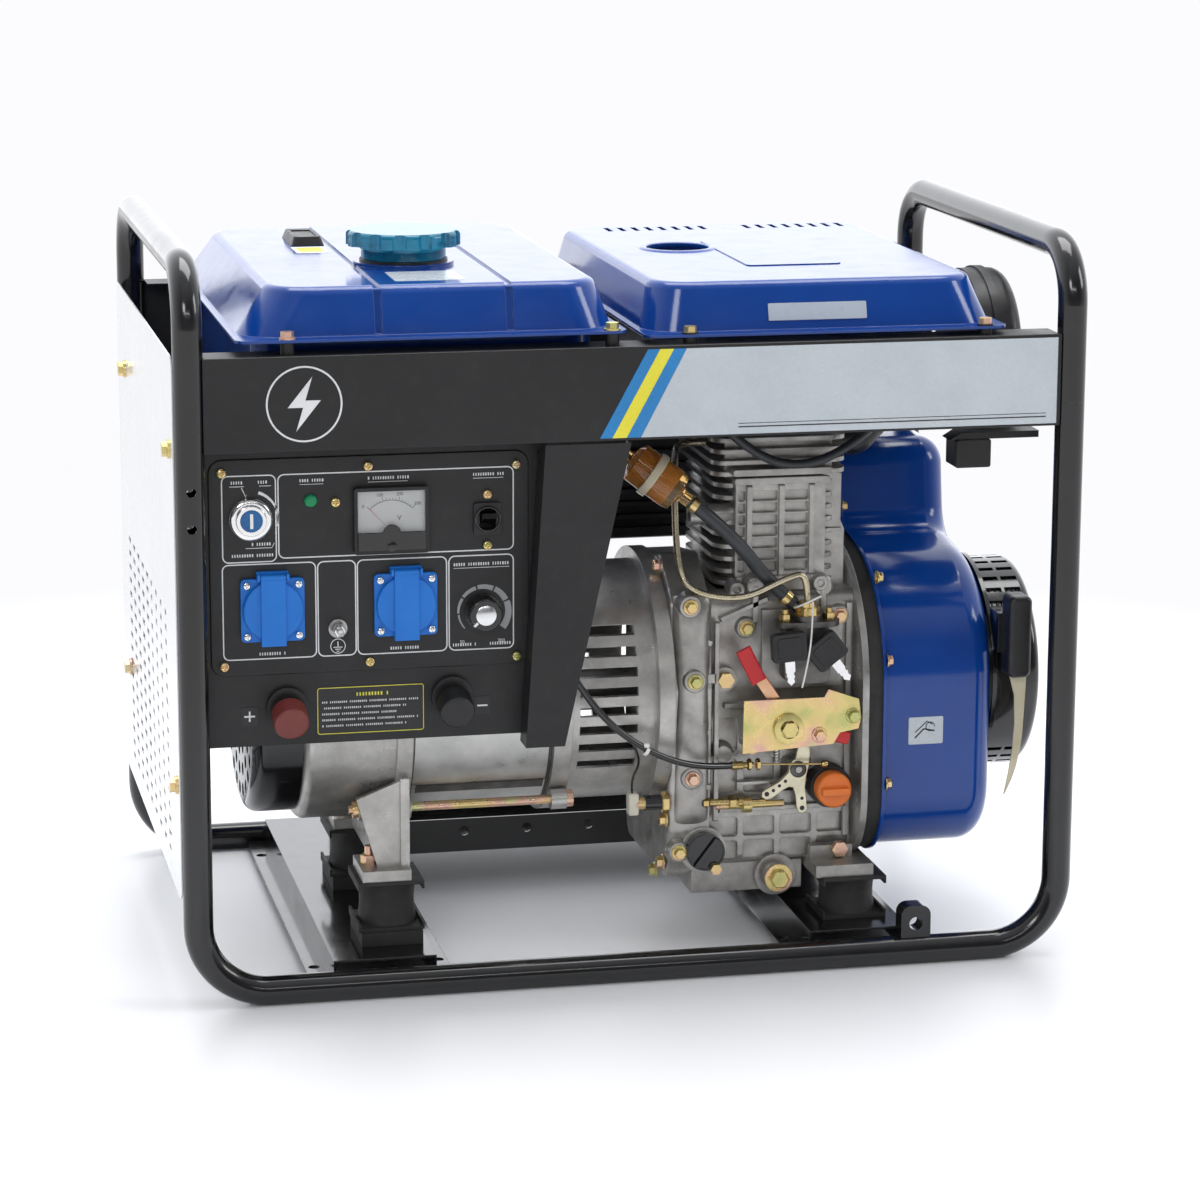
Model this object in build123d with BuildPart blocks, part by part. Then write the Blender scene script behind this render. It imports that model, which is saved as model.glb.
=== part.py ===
from build123d import *
import math
import os

os.makedirs("parts", exist_ok=True)

# Open-frame diesel welder. Millimetres, +Z up, front at -Y, origin under the middle of the box.

# Driving dimensions
frame_left = -391.0
frame_right = 399.0
frame_depth = 510.0
frame_height = 645.0
tube_radius = 12.7
tube_wall = 2.0
flat_depth = 0.8            # pressed flat under each bottom rail
bottom_bend = 60.0
top_bend = 48.0
split_height = 500.0        # handles are welded on here, behind the fascia
band_low = 480.0
band_high = 560.0
band_face = frame_depth / 2 - 5
sheet = 1.5                 # sheet steel thickness
panel_face = -220.0         # control panel front
raised_face = panel_face - 1.5
crank_y = -75.0             # crank and alternator axis
crank_z = 232.0
running_fit = 0.05
member_top = 30.0           # crossmember top

rail_z = tube_radius - flat_depth
post_left = frame_left + tube_radius
post_right = frame_right - tube_radius
post_y = frame_depth / 2 - tube_radius
handle_z = frame_height - tube_radius


# Shared shapes. Each adds to (or cuts) the part being built.
def block(x0, x1, y0, y1, z0, z1, mode=Mode.ADD):
    with Locations(((x0 + x1) / 2, (y0 + y1) / 2, (z0 + z1) / 2)):
        return Box(x1 - x0, y1 - y0, z1 - z0, mode=mode)


def disc_x(x0, x1, y, z, radius, mode=Mode.ADD):
    with Locations(Location(((x0 + x1) / 2, y, z), (0, 90, 0))):
        return Cylinder(radius, x1 - x0, mode=mode)


def disc_y(y0, y1, x, z, radius, mode=Mode.ADD):
    with Locations(Location((x, (y0 + y1) / 2, z), (90, 0, 0))):
        return Cylinder(radius, y1 - y0, mode=mode)


def disc_z(z0, z1, x, y, radius, mode=Mode.ADD):
    with Locations((x, y, (z0 + z1) / 2)):
        return Cylinder(radius, z1 - z0, mode=mode)


def tube(points, radius, bends, bore=0.0):
    with BuildLine() as path:
        FilletPolyline(*points, radius=bends)
    with BuildSketch(Plane(origin=path.line @ 0, z_dir=path.line % 0)) as section:
        Circle(radius)
        if bore > 0:
            Circle(bore, mode=Mode.SUBTRACT)
    sweep(section.sketch, path=path.line)


def rounded_loft(low, high, corner, z0, z1, mode=Mode.ADD):
    """A body between two rounded rectangles, each given as x0, x1, y0, y1."""
    faces = []
    for (x0, x1, y0, y1), z in ((low, z0), (high, z1)):
        with BuildSketch(Plane.XY.offset(z)) as outline:
            with Locations(((x0 + x1) / 2, (y0 + y1) / 2)):
                RectangleRounded(x1 - x0, y1 - y0, corner)
        faces.append(outline.sketch.faces()[0])
    loft(faces, mode=mode)


def front_plane(y, x=0.0, z=0.0):
    """Drawing plane that faces the front: sketch X is +X, sketch Y is +Z."""
    return Plane(origin=(x, y, z), x_dir=(1, 0, 0), z_dir=(0, -1, 0))


def hex_head_y(x, z, y0, y1, across):
    with BuildSketch(front_plane(y1, x, z)) as head:
        RegularPolygon(across / 2, 6, major_radius=False)
    extrude(head.sketch, amount=y1 - y0)


def hex_head_z(x, y, z0, z1, across):
    with BuildSketch(Plane.XY.offset(z0)) as head:
        with Locations((x, y)):
            RegularPolygon(across / 2, 6, major_radius=False)
    extrude(head.sketch, amount=z1 - z0)


# ---- Tubular frame -------------------------------------------------------------------------
for name, side in (("front_hoop", -1), ("rear_hoop", 1)):
    y = side * post_y
    with BuildPart() as hoop:
        tube([(post_left, y, split_height), (post_left, y, rail_z), (post_right, y, rail_z),
              (post_right, y, split_height)], tube_radius, bottom_bend, tube_radius - tube_wall)
        block(-420, 420, y - 30, y + 30, -20, 0, mode=Mode.SUBTRACT)
        if side < 0:
            for hole_z in (449.4, 418.3):
                disc_y(y - 20, y + 20, post_left, hole_z, 4.0, mode=Mode.SUBTRACT)
    hoop.part.label = name
    export_step(hoop.part, f"parts/{name}.step")

for name, x in (("left_handle", post_left), ("right_handle", post_right)):
    with BuildPart() as handle:
        tube([(x, -post_y, split_height), (x, -post_y, handle_z), (x, post_y, handle_z),
              (x, post_y, split_height)], tube_radius, top_bend, tube_radius - tube_wall)
    handle.part.label = name
    export_step(handle.part, f"parts/{name}.step")

# Two hat-section crossmembers between the bottom rails, and the battery tray on them
inner_y = post_y - tube_radius - 0.05
with BuildPart() as base_members:
    for centre, width in ((-216.0, 126.0), (209.0, 126.0)):
        half = width / 2
        ridge = half - 18
        with BuildSketch(Plane(origin=(centre, inner_y, 0), z_dir=(0, 1, 0), x_dir=(1, 0, 0))) as hat:
            with BuildLine():
                Polyline((-half, -9), (-ridge, -9), (-ridge, -member_top), (ridge, -member_top),
                         (ridge, -9), (half, -9), (half, -6.5), (ridge - 2.5, -6.5),
                         (ridge - 2.5, -member_top + 2.5), (-ridge + 2.5, -member_top + 2.5),
                         (-ridge + 2.5, -6.5), (-half, -6.5), close=True)
            make_face()
        extrude(hat.sketch, amount=-2 * inner_y)
        for y in (-178, 178):
            for x in (centre - half + 8, centre + half - 8):
                disc_z(0, 20, x, y, 5.0, mode=Mode.SUBTRACT)
    block(-200, 195, 82, 84, member_top, 62)
    block(-200, 195, 84, 212, member_top, member_top + 2)
    block(-200, 195, 212, 214, member_top, 62)
    for i in range(6):
        disc_y(80, 86, -150 + i * 60, 50, 4.5, mode=Mode.SUBTRACT)
base_members.part.label = "base_members"
export_step(base_members.part, "parts/base_members.step")

# Tie-down lug standing on the front rail
with BuildPart() as tie_down_lug:
    with BuildSketch(front_plane(-247, 256, 0)) as lug:
        with Locations((0, 29)):
            RectangleRounded(27, 48, 9)
        with Locations((0, 10)):
            Rectangle(27, 10)
        with Locations((0, 36.5)):
            Circle(6, mode=Mode.SUBTRACT)
    extrude(lug.sketch, amount=-17.3)
    disc_x(200, 300, -post_y, rail_z, tube_radius + 0.02, mode=Mode.SUBTRACT)
    block(200, 300, -270, -200, -10, 16, mode=Mode.SUBTRACT)
tie_down_lug.part.label = "tie_down_lug"
export_step(tie_down_lug.part, "parts/tie_down_lug.step")

# Fascia beams: channels between the posts, front and rear
top_bolts = [(-294.5, -236), (-19, -236), (48.6, -236), (309.7, -236),
             (-294.5, 236), (-19, 236), (48.6, 236), (309.7, 236)]
with BuildPart() as fascia_beams:
    for side in (-1, 1):
        y_out = side * band_face
        y_in = side * (band_face - sheet)
        block(-366.9, 374.9, min(y_out, y_in), max(y_out, y_in), band_low, band_high)
        for z, reach in ((band_low, 17.0), (band_high - sheet, 34.0)):
            y_far = side * (band_face - reach)
            block(-365.2, 373.2, min(y_out, y_far), max(y_out, y_far), z, z + sheet)
    fillet(fascia_beams.edges().filter_by(Axis.X).filter_by(
        lambda e: abs(abs(e.center().Y) - band_face) < 0.01), 1.2)
    for x, y in top_bolts:
        disc_z(540, 570, x, y, 3.05, mode=Mode.SUBTRACT)
    disc_y(200, 260, 240, 530, 19, mode=Mode.SUBTRACT)
fascia_beams.part.label = "fascia_beams"
export_step(fascia_beams.part, "parts/fascia_beams.step")

# Tapered gusset to the right of the control panel
with BuildPart() as panel_gusset:
    with BuildSketch(front_plane(-250)) as face:
        with BuildLine():
            Polyline((-79, 478), (-5, 478), (-62, 216), (-96, 216), close=True)
        make_face()
    extrude(face.sketch, amount=-sheet)
    for (top_x, low_x), depth in (((-79, -96), 27.0), ((-6.6, -63.6), 14.0)):
        with BuildSketch(front_plane(-250)) as lip:
            with BuildLine():
                Polyline((top_x, 478), (top_x + 1.6, 478), (low_x + 1.6, 216), (low_x, 216), close=True)
            make_face()
        extrude(lip.sketch, amount=-depth)
panel_gusset.part.label = "panel_gusset"
export_step(panel_gusset.part, "parts/panel_gusset.step")

# Perforated left side panel, outside the posts
side_bolts = [(-221, 481), (167, 488), (-228, 194), (168, 204)]
with BuildPart() as left_side_panel:
    with BuildSketch(Plane(origin=(frame_left, 0, 0), z_dir=(-1, 0, 0), x_dir=(0, -1, 0))) as face:
        with Locations((3, 328)):
            RectangleRounded(480, 466, 12)
        with Locations((1, 224)):
            with GridLocations(40, 13.0, 9, 17):
                SlotOverall(20, 5.5, mode=Mode.SUBTRACT)
        for bolt_y, bolt_z in side_bolts:
            with Locations((-bolt_y, bolt_z)):
                Circle(3.05, mode=Mode.SUBTRACT)
    extrude(face.sketch, amount=1.2)
left_side_panel.part.label = "left_side_panel"
export_step(left_side_panel.part, "parts/left_side_panel.step")

# ---- Control panel -------------------------------------------------------------------------
panel_left = -365.0
panel_right = -80.1
key_at = (-326, 419)
lamp_at = (-275, 433)
meter_box = (-239, -175, 386, 443)
breaker_at = (-124, 412)
socket_at = [(-308.6, 341), (-195, 341)]
earth_at = (-253, 322)
knob_at = (-128, 331)
terminal_at = [(-297, 255), (-155, 258)]
panel_screws = [(-350, 459), (-226, 461), (-99, 458), (-350, 293), (-226, 292), (-99, 291),
                (-254, 431), (-124, 433), (-124, 389)]
with BuildPart() as control_panel:
    block(panel_left, panel_right, panel_face, panel_face + sheet, 222, 479.9)
    block(panel_left, panel_right, panel_face, -195, 222, 223.5)
    with BuildSketch(front_plane(panel_face)) as raised:
        with Locations((-224.5, 377)):
            RectangleRounded(273, 186, 12)
    extrude(raised.sketch, amount=1.5)
    fillet(control_panel.faces().sort_by(Axis.Y)[0].edges(), 1.0)
    disc_y(-230, -210, *key_at, 11.1, mode=Mode.SUBTRACT)
    disc_y(-230, -210, *lamp_at, 4.1, mode=Mode.SUBTRACT)
    disc_y(-230, -210, -207, 414.5, 25.1, mode=Mode.SUBTRACT)
    block(-135, -113, -230, -210, 399, 425, mode=Mode.SUBTRACT)
    for x, z in socket_at:
        disc_y(-230, -210, x, z, 23.1, mode=Mode.SUBTRACT)
    disc_y(-230, -210, *earth_at, 3.1, mode=Mode.SUBTRACT)
    disc_y(-230, -210, *knob_at, 4.1, mode=Mode.SUBTRACT)
    for x, z in terminal_at:
        disc_y(-230, -210, x, z, 9.1, mode=Mode.SUBTRACT)
    for x, z in panel_screws:
        disc_y(-230, -210, x, z, 1.6, mode=Mode.SUBTRACT)
control_panel.part.label = "control_panel"
export_step(control_panel.part, "parts/control_panel.step")

# Electrical box behind the panel: deep above the alternator, open below it
with BuildPart() as control_box:
    block(-364, -84, -218.4, -90, 366, 478)
    block(-362.5, -85.5, -218.4, -91.5, 367.5, 476.5, mode=Mode.SUBTRACT)
    for i in range(8):
        block(-345 + i * 34, -321 + i * 34, -95, -85, 440, 445, mode=Mode.SUBTRACT)
        block(-345 + i * 34, -321 + i * 34, -95, -85, 425, 430, mode=Mode.SUBTRACT)
control_box.part.label = "control_box"
export_step(control_box.part, "parts/control_box.step")

x0, x1, z0, z1 = meter_box
with BuildPart() as voltmeter:
    block(x0, x1, -229, raised_face, z0, z1)
    fillet(voltmeter.edges().filter_by(Axis.Y), 2.5)
    block(x0 + 3, x1 - 3, -230, -224, z0 + 3, z1 - 3, mode=Mode.SUBTRACT)
    disc_y(raised_face, -180, -207, 414.5, 25.0)
    disc_y(-226.3, -224, -207, 406, 0.9)
voltmeter.part.label = "voltmeter"
export_step(voltmeter.part, "parts/voltmeter.step")

with BuildPart() as voltmeter_window:
    block(x0 + 3, x1 - 3, -229, -227.8, z0 + 3, z1 - 3)
voltmeter_window.part.label = "voltmeter_window"
export_step(voltmeter_window.part, "parts/voltmeter_window.step")

# Pointer at rest on zero, 45 degrees left of upright
with BuildPart() as voltmeter_needle:
    disc_y(-226.2, -225.4, -207, 406, 2.6)
    with BuildSketch(front_plane(-225.4, -207, 406)) as pointer:
        with BuildLine():
            Polyline((-1.1, 0.6), (0.6, -1.1), (-20.0, 20.3), (-20.3, 20.0), close=True)
        make_face()
    extrude(pointer.sketch, amount=0.8)
    disc_y(-230, -220, -207, 406, 0.9 + running_fit, mode=Mode.SUBTRACT)
voltmeter_needle.part.label = "voltmeter_needle"
export_step(voltmeter_needle.part, "parts/voltmeter_needle.step")

with BuildPart() as pilot_lamp:
    disc_y(-225.5, raised_face, *lamp_at, 5.5)
    fillet(pilot_lamp.faces().sort_by(Axis.Y)[0].edges(), 2.5)
    disc_y(raised_face, -205, *lamp_at, 4.0)
pilot_lamp.part.label = "pilot_lamp"
export_step(pilot_lamp.part, "parts/pilot_lamp.step")

with BuildPart() as key_ring:
    disc_y(-227.5, raised_face, *key_at, 18.5)
    fillet(key_ring.faces().sort_by(Axis.Y)[0].edges(), 4.0)
    disc_y(-231, raised_face, *key_at, 13.0)
    fillet(key_ring.faces().sort_by(Axis.Y)[0].edges(), 1.0)
    disc_y(raised_face, -185, *key_at, 11.0)
    disc_y(-240, -200, *key_at, 9.5, mode=Mode.SUBTRACT)
key_ring.part.label = "key_ring"
export_step(key_ring.part, "parts/key_ring.step")

with BuildPart() as key_barrel:
    disc_y(-231.5, -200.2, *key_at, 9.5 - running_fit)
    fillet(key_barrel.faces().sort_by(Axis.Y)[0].edges(), 0.8)
    block(key_at[0] - 1.2, key_at[0] + 1.2, -232, -222, key_at[1] - 5, key_at[1] + 5, mode=Mode.SUBTRACT)
key_barrel.part.label = "key_barrel"
export_step(key_barrel.part, "parts/key_barrel.step")

with BuildPart() as breaker:
    block(-136, -112, -225, raised_face, 398, 426)
    fillet(breaker.edges().filter_by(Axis.Y), 3)
    block(-134.9, -113.1, raised_face, -190, 399.1, 424.9)
    block(-131, -117, -226, -213, 403, 421, mode=Mode.SUBTRACT)
breaker.part.label = "breaker"
export_step(breaker.part, "parts/breaker.step")

with BuildPart() as breaker_toggle:
    disc_x(-130, -118, -219, 412, 5.0)
    with BuildSketch(Plane(origin=(-130, -219, 412), z_dir=(1, 0, 0), x_dir=(0, 1, 0))) as lever:
        with BuildLine():
            Polyline((-1, 3.5), (-16.2, 6.6), (-17.0, 2.6), (-2, -3.5), close=True)
        make_face()
    extrude(lever.sketch, amount=12)
breaker_toggle.part.label = "breaker_toggle"
export_step(breaker_toggle.part, "parts/breaker_toggle.step")

# Mains sockets with an upper hinge, and their sprung flaps
hinge_y = -231.2
hinge_rise = 29.0
with BuildPart() as sockets:
    for x, z in socket_at:
        with BuildSketch(front_plane(raised_face, x, z)) as flange:
            RectangleRounded(54, 54, 4)
        extrude(flange.sketch, amount=4.5)
        disc_y(raised_face, -192, x, z, 23.0)
        disc_y(-240, -197, x, z, 20.5, mode=Mode.SUBTRACT)
        disc_y(-222, -197, x, z, 17.5)
        for dx in (-9.5, 9.5):
            disc_y(-240, -205, x + dx, z, 2.6, mode=Mode.SUBTRACT)
        block(x - 13.5, x + 13.5, -226, raised_face, z + 27, z + 33)
        for dx in (-12.4, 12.4):
            block(x + dx - 1.1, x + dx + 1.1, -233.5, -226, z + 26.5, z + 32)
        disc_x(x - 11.3, x + 11.3, hinge_y, z + hinge_rise, 1.0)
sockets.part.label = "sockets"
export_step(sockets.part, "parts/sockets.step")

for name, (x, z) in zip(("left_socket_flap", "right_socket_flap"), socket_at):
    with BuildPart() as flap:
        disc_y(-230.5, -226.2, x, z, 25.5)
        fillet(flap.faces().sort_by(Axis.Y)[0].edges(), 1.5)
        block(x - 10.5, x + 10.5, -232.5, -226.2, z - 30, z + hinge_rise - 1)
        disc_x(x - 10.5, x + 10.5, hinge_y, z + hinge_rise, 2.3)
        disc_x(x - 12, x + 12, hinge_y, z + hinge_rise, 1.0 + running_fit, mode=Mode.SUBTRACT)
    flap.part.label = name
    export_step(flap.part, f"parts/{name}.step")

with BuildPart() as earth_stud:
    disc_y(-240, -205, *earth_at, 3.0)
    disc_y(-223, raised_face, *earth_at, 8.0)
    disc_y(-224.2, -223, *earth_at, 6.5)
earth_stud.part.label = "earth_stud"
export_step(earth_stud.part, "parts/earth_stud.step")

with BuildPart() as earth_nut:
    hex_head_y(*earth_at, -231.5, -224.3, 11)
    disc_y(-240, -220, *earth_at, 3.0 + running_fit, mode=Mode.SUBTRACT)
earth_nut.part.label = "earth_nut"
export_step(earth_nut.part, "parts/earth_nut.step")

with BuildPart() as current_knob:
    disc_y(-238, -223, *knob_at, 14.0)
    fillet(current_knob.faces().sort_by(Axis.Y)[0].edges(), 1.5)
    disc_y(-225, -222, *knob_at, 16.0)
    with Locations(Location((knob_at[0], -230, knob_at[1]), (90, 0, 0))):
        with PolarLocations(14.4, 24):
            Cylinder(0.9, 12, mode=Mode.SUBTRACT)
    disc_y(-222.1, -205, *knob_at, 4.0 - running_fit)
current_knob.part.label = "current_knob"
export_step(current_knob.part, "parts/current_knob.step")

# Weld terminals: a socket collar and a drooping clamp knob each
droop = math.radians(20)
droop_dir = (0, -math.cos(droop), -math.sin(droop))
with BuildPart() as terminal_bases:
    for x, z in terminal_at:
        disc_y(-226, panel_face, x, z, 18.0)
        disc_y(panel_face, -200, x, z, 9.0)
        with BuildSketch(Plane(origin=(x, -226, z), z_dir=droop_dir)) as spigot:
            Circle(6.0)
        extrude(spigot.sketch, amount=8)
terminal_bases.part.label = "terminal_bases"
export_step(terminal_bases.part, "parts/terminal_bases.step")

for name, (x, z) in zip(("positive_terminal_knob", "negative_terminal_knob"), terminal_at):
    # The knob starts just clear of the collar's face at its lower edge
    start = (x, -226 + 6.2 * droop_dir[1], z + 6.2 * droop_dir[2])
    with BuildPart() as knob:
        with BuildSketch(Plane(origin=start, z_dir=droop_dir)) as body:
            Circle(15.0)
        extrude(body.sketch, amount=19)
        fillet(knob.faces().sort_by(Axis.Y)[0].edges(), 2.5)
        with BuildSketch(Plane(origin=start, z_dir=droop_dir)) as bore:
            Circle(6.0 + running_fit)
        extrude(bore.sketch, amount=2.2, mode=Mode.SUBTRACT)
    knob.part.label = name
    export_step(knob.part, f"parts/{name}.step")

# ---- Fuel tank and muffler cover ----------------------------------------------------------
tank_rim = (-338, -6, -243, 243)
tank_low = (-332, -12, -227, 225)
tank_top = (-306, -25, -215, 207)
tank_z = 612.0
with BuildPart() as fuel_tank:
    rounded_loft((-318, -26, -205, 205), (-318, -26, -205, 205), 30, 495, 560)
    rounded_loft((-318, -26, -205, 205), (-318, -26, -205, 205), 30, 559, 571)
    rounded_loft(tank_rim, tank_rim, 12, 570, 572.5)
    rounded_loft(tank_low, tank_top, 36, 572.5, tank_z)
    fillet(fuel_tank.faces().sort_by(Axis.Z)[-1].edges(), 9)
    slope = math.degrees(math.atan2(12, tank_z - 572.5))
    for x in (-216, -104):
        block(x - 3, x + 3, -225, 215, tank_z - 1.8, tank_z + 2, mode=Mode.SUBTRACT)
        with Locations(Location((x, -221.5, 591), (-slope, 0, 0))):
            Box(6, 4.5, 36, mode=Mode.SUBTRACT)
    rounded_loft((-314, -30, -201, 201), (-314, -30, -201, 201), 26, 498, 575, mode=Mode.SUBTRACT)
    rounded_loft((-324, -20, -219, 217), (-300, -31, -207, 199), 32, 574, tank_z - 4, mode=Mode.SUBTRACT)
    disc_z(tank_z - 8, tank_z + 12, -170, -74, 33)
    disc_z(tank_z - 3, tank_z + 3, -170, -74, 44)
    disc_z(tank_z - 10, tank_z + 20, -170, -74, 28, mode=Mode.SUBTRACT)
    for x, y in top_bolts[:2] + top_bolts[4:6]:
        disc_z(550, 574, x, y, 3.05, mode=Mode.SUBTRACT)
fuel_tank.part.label = "fuel_tank"
export_step(fuel_tank.part, "parts/fuel_tank.step")

with BuildPart() as fuel_cap:
    disc_z(629, 642, -170, -74, 50)
    fillet(fuel_cap.faces().sort_by(Axis.Z)[-1].edges(), 4)
    with Locations((-170, -74, 635)):
        with PolarLocations(54, 14):
            Cylinder(7.5, 30, mode=Mode.SUBTRACT)
    disc_z(617, 629.1, -170, -74, 37)
    disc_z(610, 625, -170, -74, 35, mode=Mode.SUBTRACT)
fuel_cap.part.label = "fuel_cap"
export_step(fuel_cap.part, "parts/fuel_cap.step")

with BuildPart() as fuel_gauge:
    rounded_loft((-250, -220, 58, 128), (-247, -223, 62, 124), 4, tank_z, tank_z + 8)
    block(-244, -226, 68, 113, tank_z + 5, tank_z + 9, mode=Mode.SUBTRACT)
    block(-243.9, -226.1, 68.1, 112.9, tank_z + 5, tank_z + 7)
fuel_gauge.part.label = "fuel_gauge"
export_step(fuel_gauge.part, "parts/fuel_gauge.step")

cover_z = 608.0
with BuildPart() as muffler_cover:
    rounded_loft((9, 329, -243, 243), (9, 329, -243, 243), 12, 565, 567.5)
    rounded_loft((14, 324, -227, 202), (22, 307, -215, 186), 34, 567.5, cover_z)
    fillet(muffler_cover.faces().sort_by(Axis.Z)[-1].edges(), 8)
    rounded_loft((16, 322, -225, 200), (24, 305, -213, 184), 32, 564.9, cover_z - 1.6, mode=Mode.SUBTRACT)
    disc_z(cover_z - 10, cover_z + 5, 97, 15, 28.5, mode=Mode.SUBTRACT)
    for first in (58, 192):
        for i in range(8):
            with Locations((first + 6 + i * 13, 158, cover_z)):
                Box(5, 26, 20, mode=Mode.SUBTRACT)
    for x, y in top_bolts[2:4] + top_bolts[6:]:
        disc_z(550, 569, x, y, 3.05, mode=Mode.SUBTRACT)
muffler_cover.part.label = "muffler_cover"
export_step(muffler_cover.part, "parts/muffler_cover.step")

with BuildPart() as muffler:
    rounded_loft((50, 300, -150, 130), (50, 300, -150, 130), 40, 508, 554)
    fillet(muffler.faces().sort_by(Axis.Z)[-1].edges() + muffler.faces().sort_by(Axis.Z)[0].edges(), 12)
    tube([(150, 45, 515), (150, 45, 444), (150, 0.2, 444)], 14, 22)
    disc_y(125, 245, 240, 530, 14)
    disc_y(130, 250, 240, 530, 12, mode=Mode.SUBTRACT)
muffler.part.label = "muffler"
export_step(muffler.part, "parts/muffler.step")

# ---- Rubber mounts: left pair under the alternator on pads, right pair under the engine ----
mounts = [(-204, -162, True), (-204, 12, True), (213, -170, False), (213, 20, False)]
foot_left = 86.0
foot_right = 68.0
with BuildPart() as rubber_mounts:
    for x, y, padded in mounts:
        base = member_top + (12 if padded else 0)
        top = foot_left if padded else foot_right
        if padded:
            block(x - 27, x + 27, y - 34, y + 34, member_top, base)
        block(x - 29, x + 29, y - 30, y + 30, base, base + 3)
        block(x - 29, x + 29, y - 30, y + 30, top - 3, top)
        for edge in (-1, 1):
            block(x + 28 * edge - 1, x + 28 * edge + 1, y - 30, y + 30, base, base + 7)
            block(x + 28 * edge - 1, x + 28 * edge + 1, y - 30, y + 30, top - 7, top)
        middle = (base + top) / 2
        with BuildSketch(front_plane(y, x, 0)) as half:
            with BuildLine():
                Line((0, base + 3), (26.5, base + 3))
                ThreePointArc((26.5, base + 3), (24, middle), (26.5, top - 3))
                Line((26.5, top - 3), (0, top - 3))
                Line((0, top - 3), (0, base + 3))
            make_face()
        revolve(half.sketch, axis=Axis((x, y, 0), (0, 0, 1)))
rubber_mounts.part.label = "rubber_mounts"
export_step(rubber_mounts.part, "parts/rubber_mounts.step")

# ---- Alternator ----------------------------------------------------------------------------
cover_x = -321.0
bracket_x = -277.0
stator_x = -183.0
front_bracket_x = -58.0
engine_x = 49.0
stator_radius = 110.0
rod_places = [(-165, 146), (15, 146), (-165, 318), (15, 318)]
with BuildPart() as alternator_end_cover:
    disc_x(cover_x, bracket_x - 0.1, crank_y, crank_z, 104)
    fillet(alternator_end_cover.faces().sort_by(Axis.X)[0].edges(), 12)
    disc_x(cover_x + 2, bracket_x, crank_y, crank_z, 95, mode=Mode.SUBTRACT)
    for ring_radius, count in ((30, 8), (48, 12), (66, 18), (84, 24)):
        with Locations(Location((cover_x, crank_y, crank_z), (0, 90, 0))):
            with PolarLocations(ring_radius, count):
                Cylinder(6.0, 20, mode=Mode.SUBTRACT)
alternator_end_cover.part.label = "alternator_end_cover"
export_step(alternator_end_cover.part, "parts/alternator_end_cover.step")

shaft_radius = 12.5
with BuildPart() as alternator_end_bracket:
    disc_x(bracket_x, stator_x - 0.1, crank_y, crank_z, 112)
    disc_x(stator_x - 14, stator_x - 0.1, crank_y, crank_z, 116)
    for y in (-162, 12):
        with BuildSketch(front_plane(y - 16)) as leg:
            with BuildLine():
                Polyline((-232, 158), (-186, 176), (-188, foot_left), (-211, foot_left), close=True)
            make_face()
        extrude(leg.sketch, amount=-6)
        block(-194, -186, y - 20, y + 16, foot_left, 176)
        block(-229, -186, y - 28, y + 28, foot_left, foot_left + 10)
    block(-211, -204, -170, 20, foot_left + 2, 130)
    fillet(alternator_end_bracket.faces().sort_by(Axis.X)[0].edges(), 8)
    for y, z in rod_places:
        disc_x(stator_x - 46, stator_x - 0.1, y, z, 10)
        disc_x(stator_x - 60, stator_x + 5, y, z, 4.1, mode=Mode.SUBTRACT)
    disc_x(bracket_x + 10, stator_x + 5, crank_y, crank_z, 104, mode=Mode.SUBTRACT)
    disc_x(bracket_x + 5, bracket_x + 22, crank_y, crank_z, 34)
    disc_x(bracket_x - 5, bracket_x + 40, crank_y, crank_z, shaft_radius + running_fit, mode=Mode.SUBTRACT)
    with Locations(Location((bracket_x + 5, crank_y, crank_z), (0, 90, 0))):
        with PolarLocations(66, 6):
            Box(44, 26, 30, mode=Mode.SUBTRACT)
alternator_end_bracket.part.label = "alternator_end_bracket"
export_step(alternator_end_bracket.part, "parts/alternator_end_bracket.step")

with BuildPart() as stator:
    disc_x(stator_x, front_bracket_x, crank_y, crank_z, stator_radius)
    disc_x(stator_x - 5, front_bracket_x + 5, crank_y, crank_z, 76, mode=Mode.SUBTRACT)
    for x_a, x_b in ((stator_x - 24, stator_x - 0.2), (front_bracket_x + 0.2, front_bracket_x + 24)):
        disc_x(x_a, x_b, crank_y, crank_z, 98)
    disc_x(stator_x - 30, front_bracket_x + 30, crank_y, crank_z, 76, mode=Mode.SUBTRACT)
stator.part.label = "stator"
export_step(stator.part, "parts/stator.step")

with BuildPart() as alternator_front_bracket:
    disc_x(front_bracket_x + 0.1, front_bracket_x + 16, crank_y, crank_z, 115)
    disc_x(front_bracket_x + 10, engine_x - 12, crank_y, crank_z, 107)
    disc_x(engine_x - 14, engine_x - 0.1, crank_y, crank_z, 118)
    for y, z in rod_places:
        disc_x(front_bracket_x + 0.1, front_bracket_x + 14, y, z, 9)
        disc_x(front_bracket_x - 5, front_bracket_x + 20, y, z, 4.1, mode=Mode.SUBTRACT)
    disc_x(front_bracket_x - 1, engine_x + 1, crank_y, crank_z, 101, mode=Mode.SUBTRACT)
    for side in (-1, 1):
        y_a = crank_y + side * 130
        y_b = crank_y + side * 70
        for i in range(8):
            z = 172 + i * 17
            block(-34, 18, min(y_a, y_b), max(y_a, y_b), z, z + 8, mode=Mode.SUBTRACT)
alternator_front_bracket.part.label = "alternator_front_bracket"
export_step(alternator_front_bracket.part, "parts/alternator_front_bracket.step")

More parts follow.
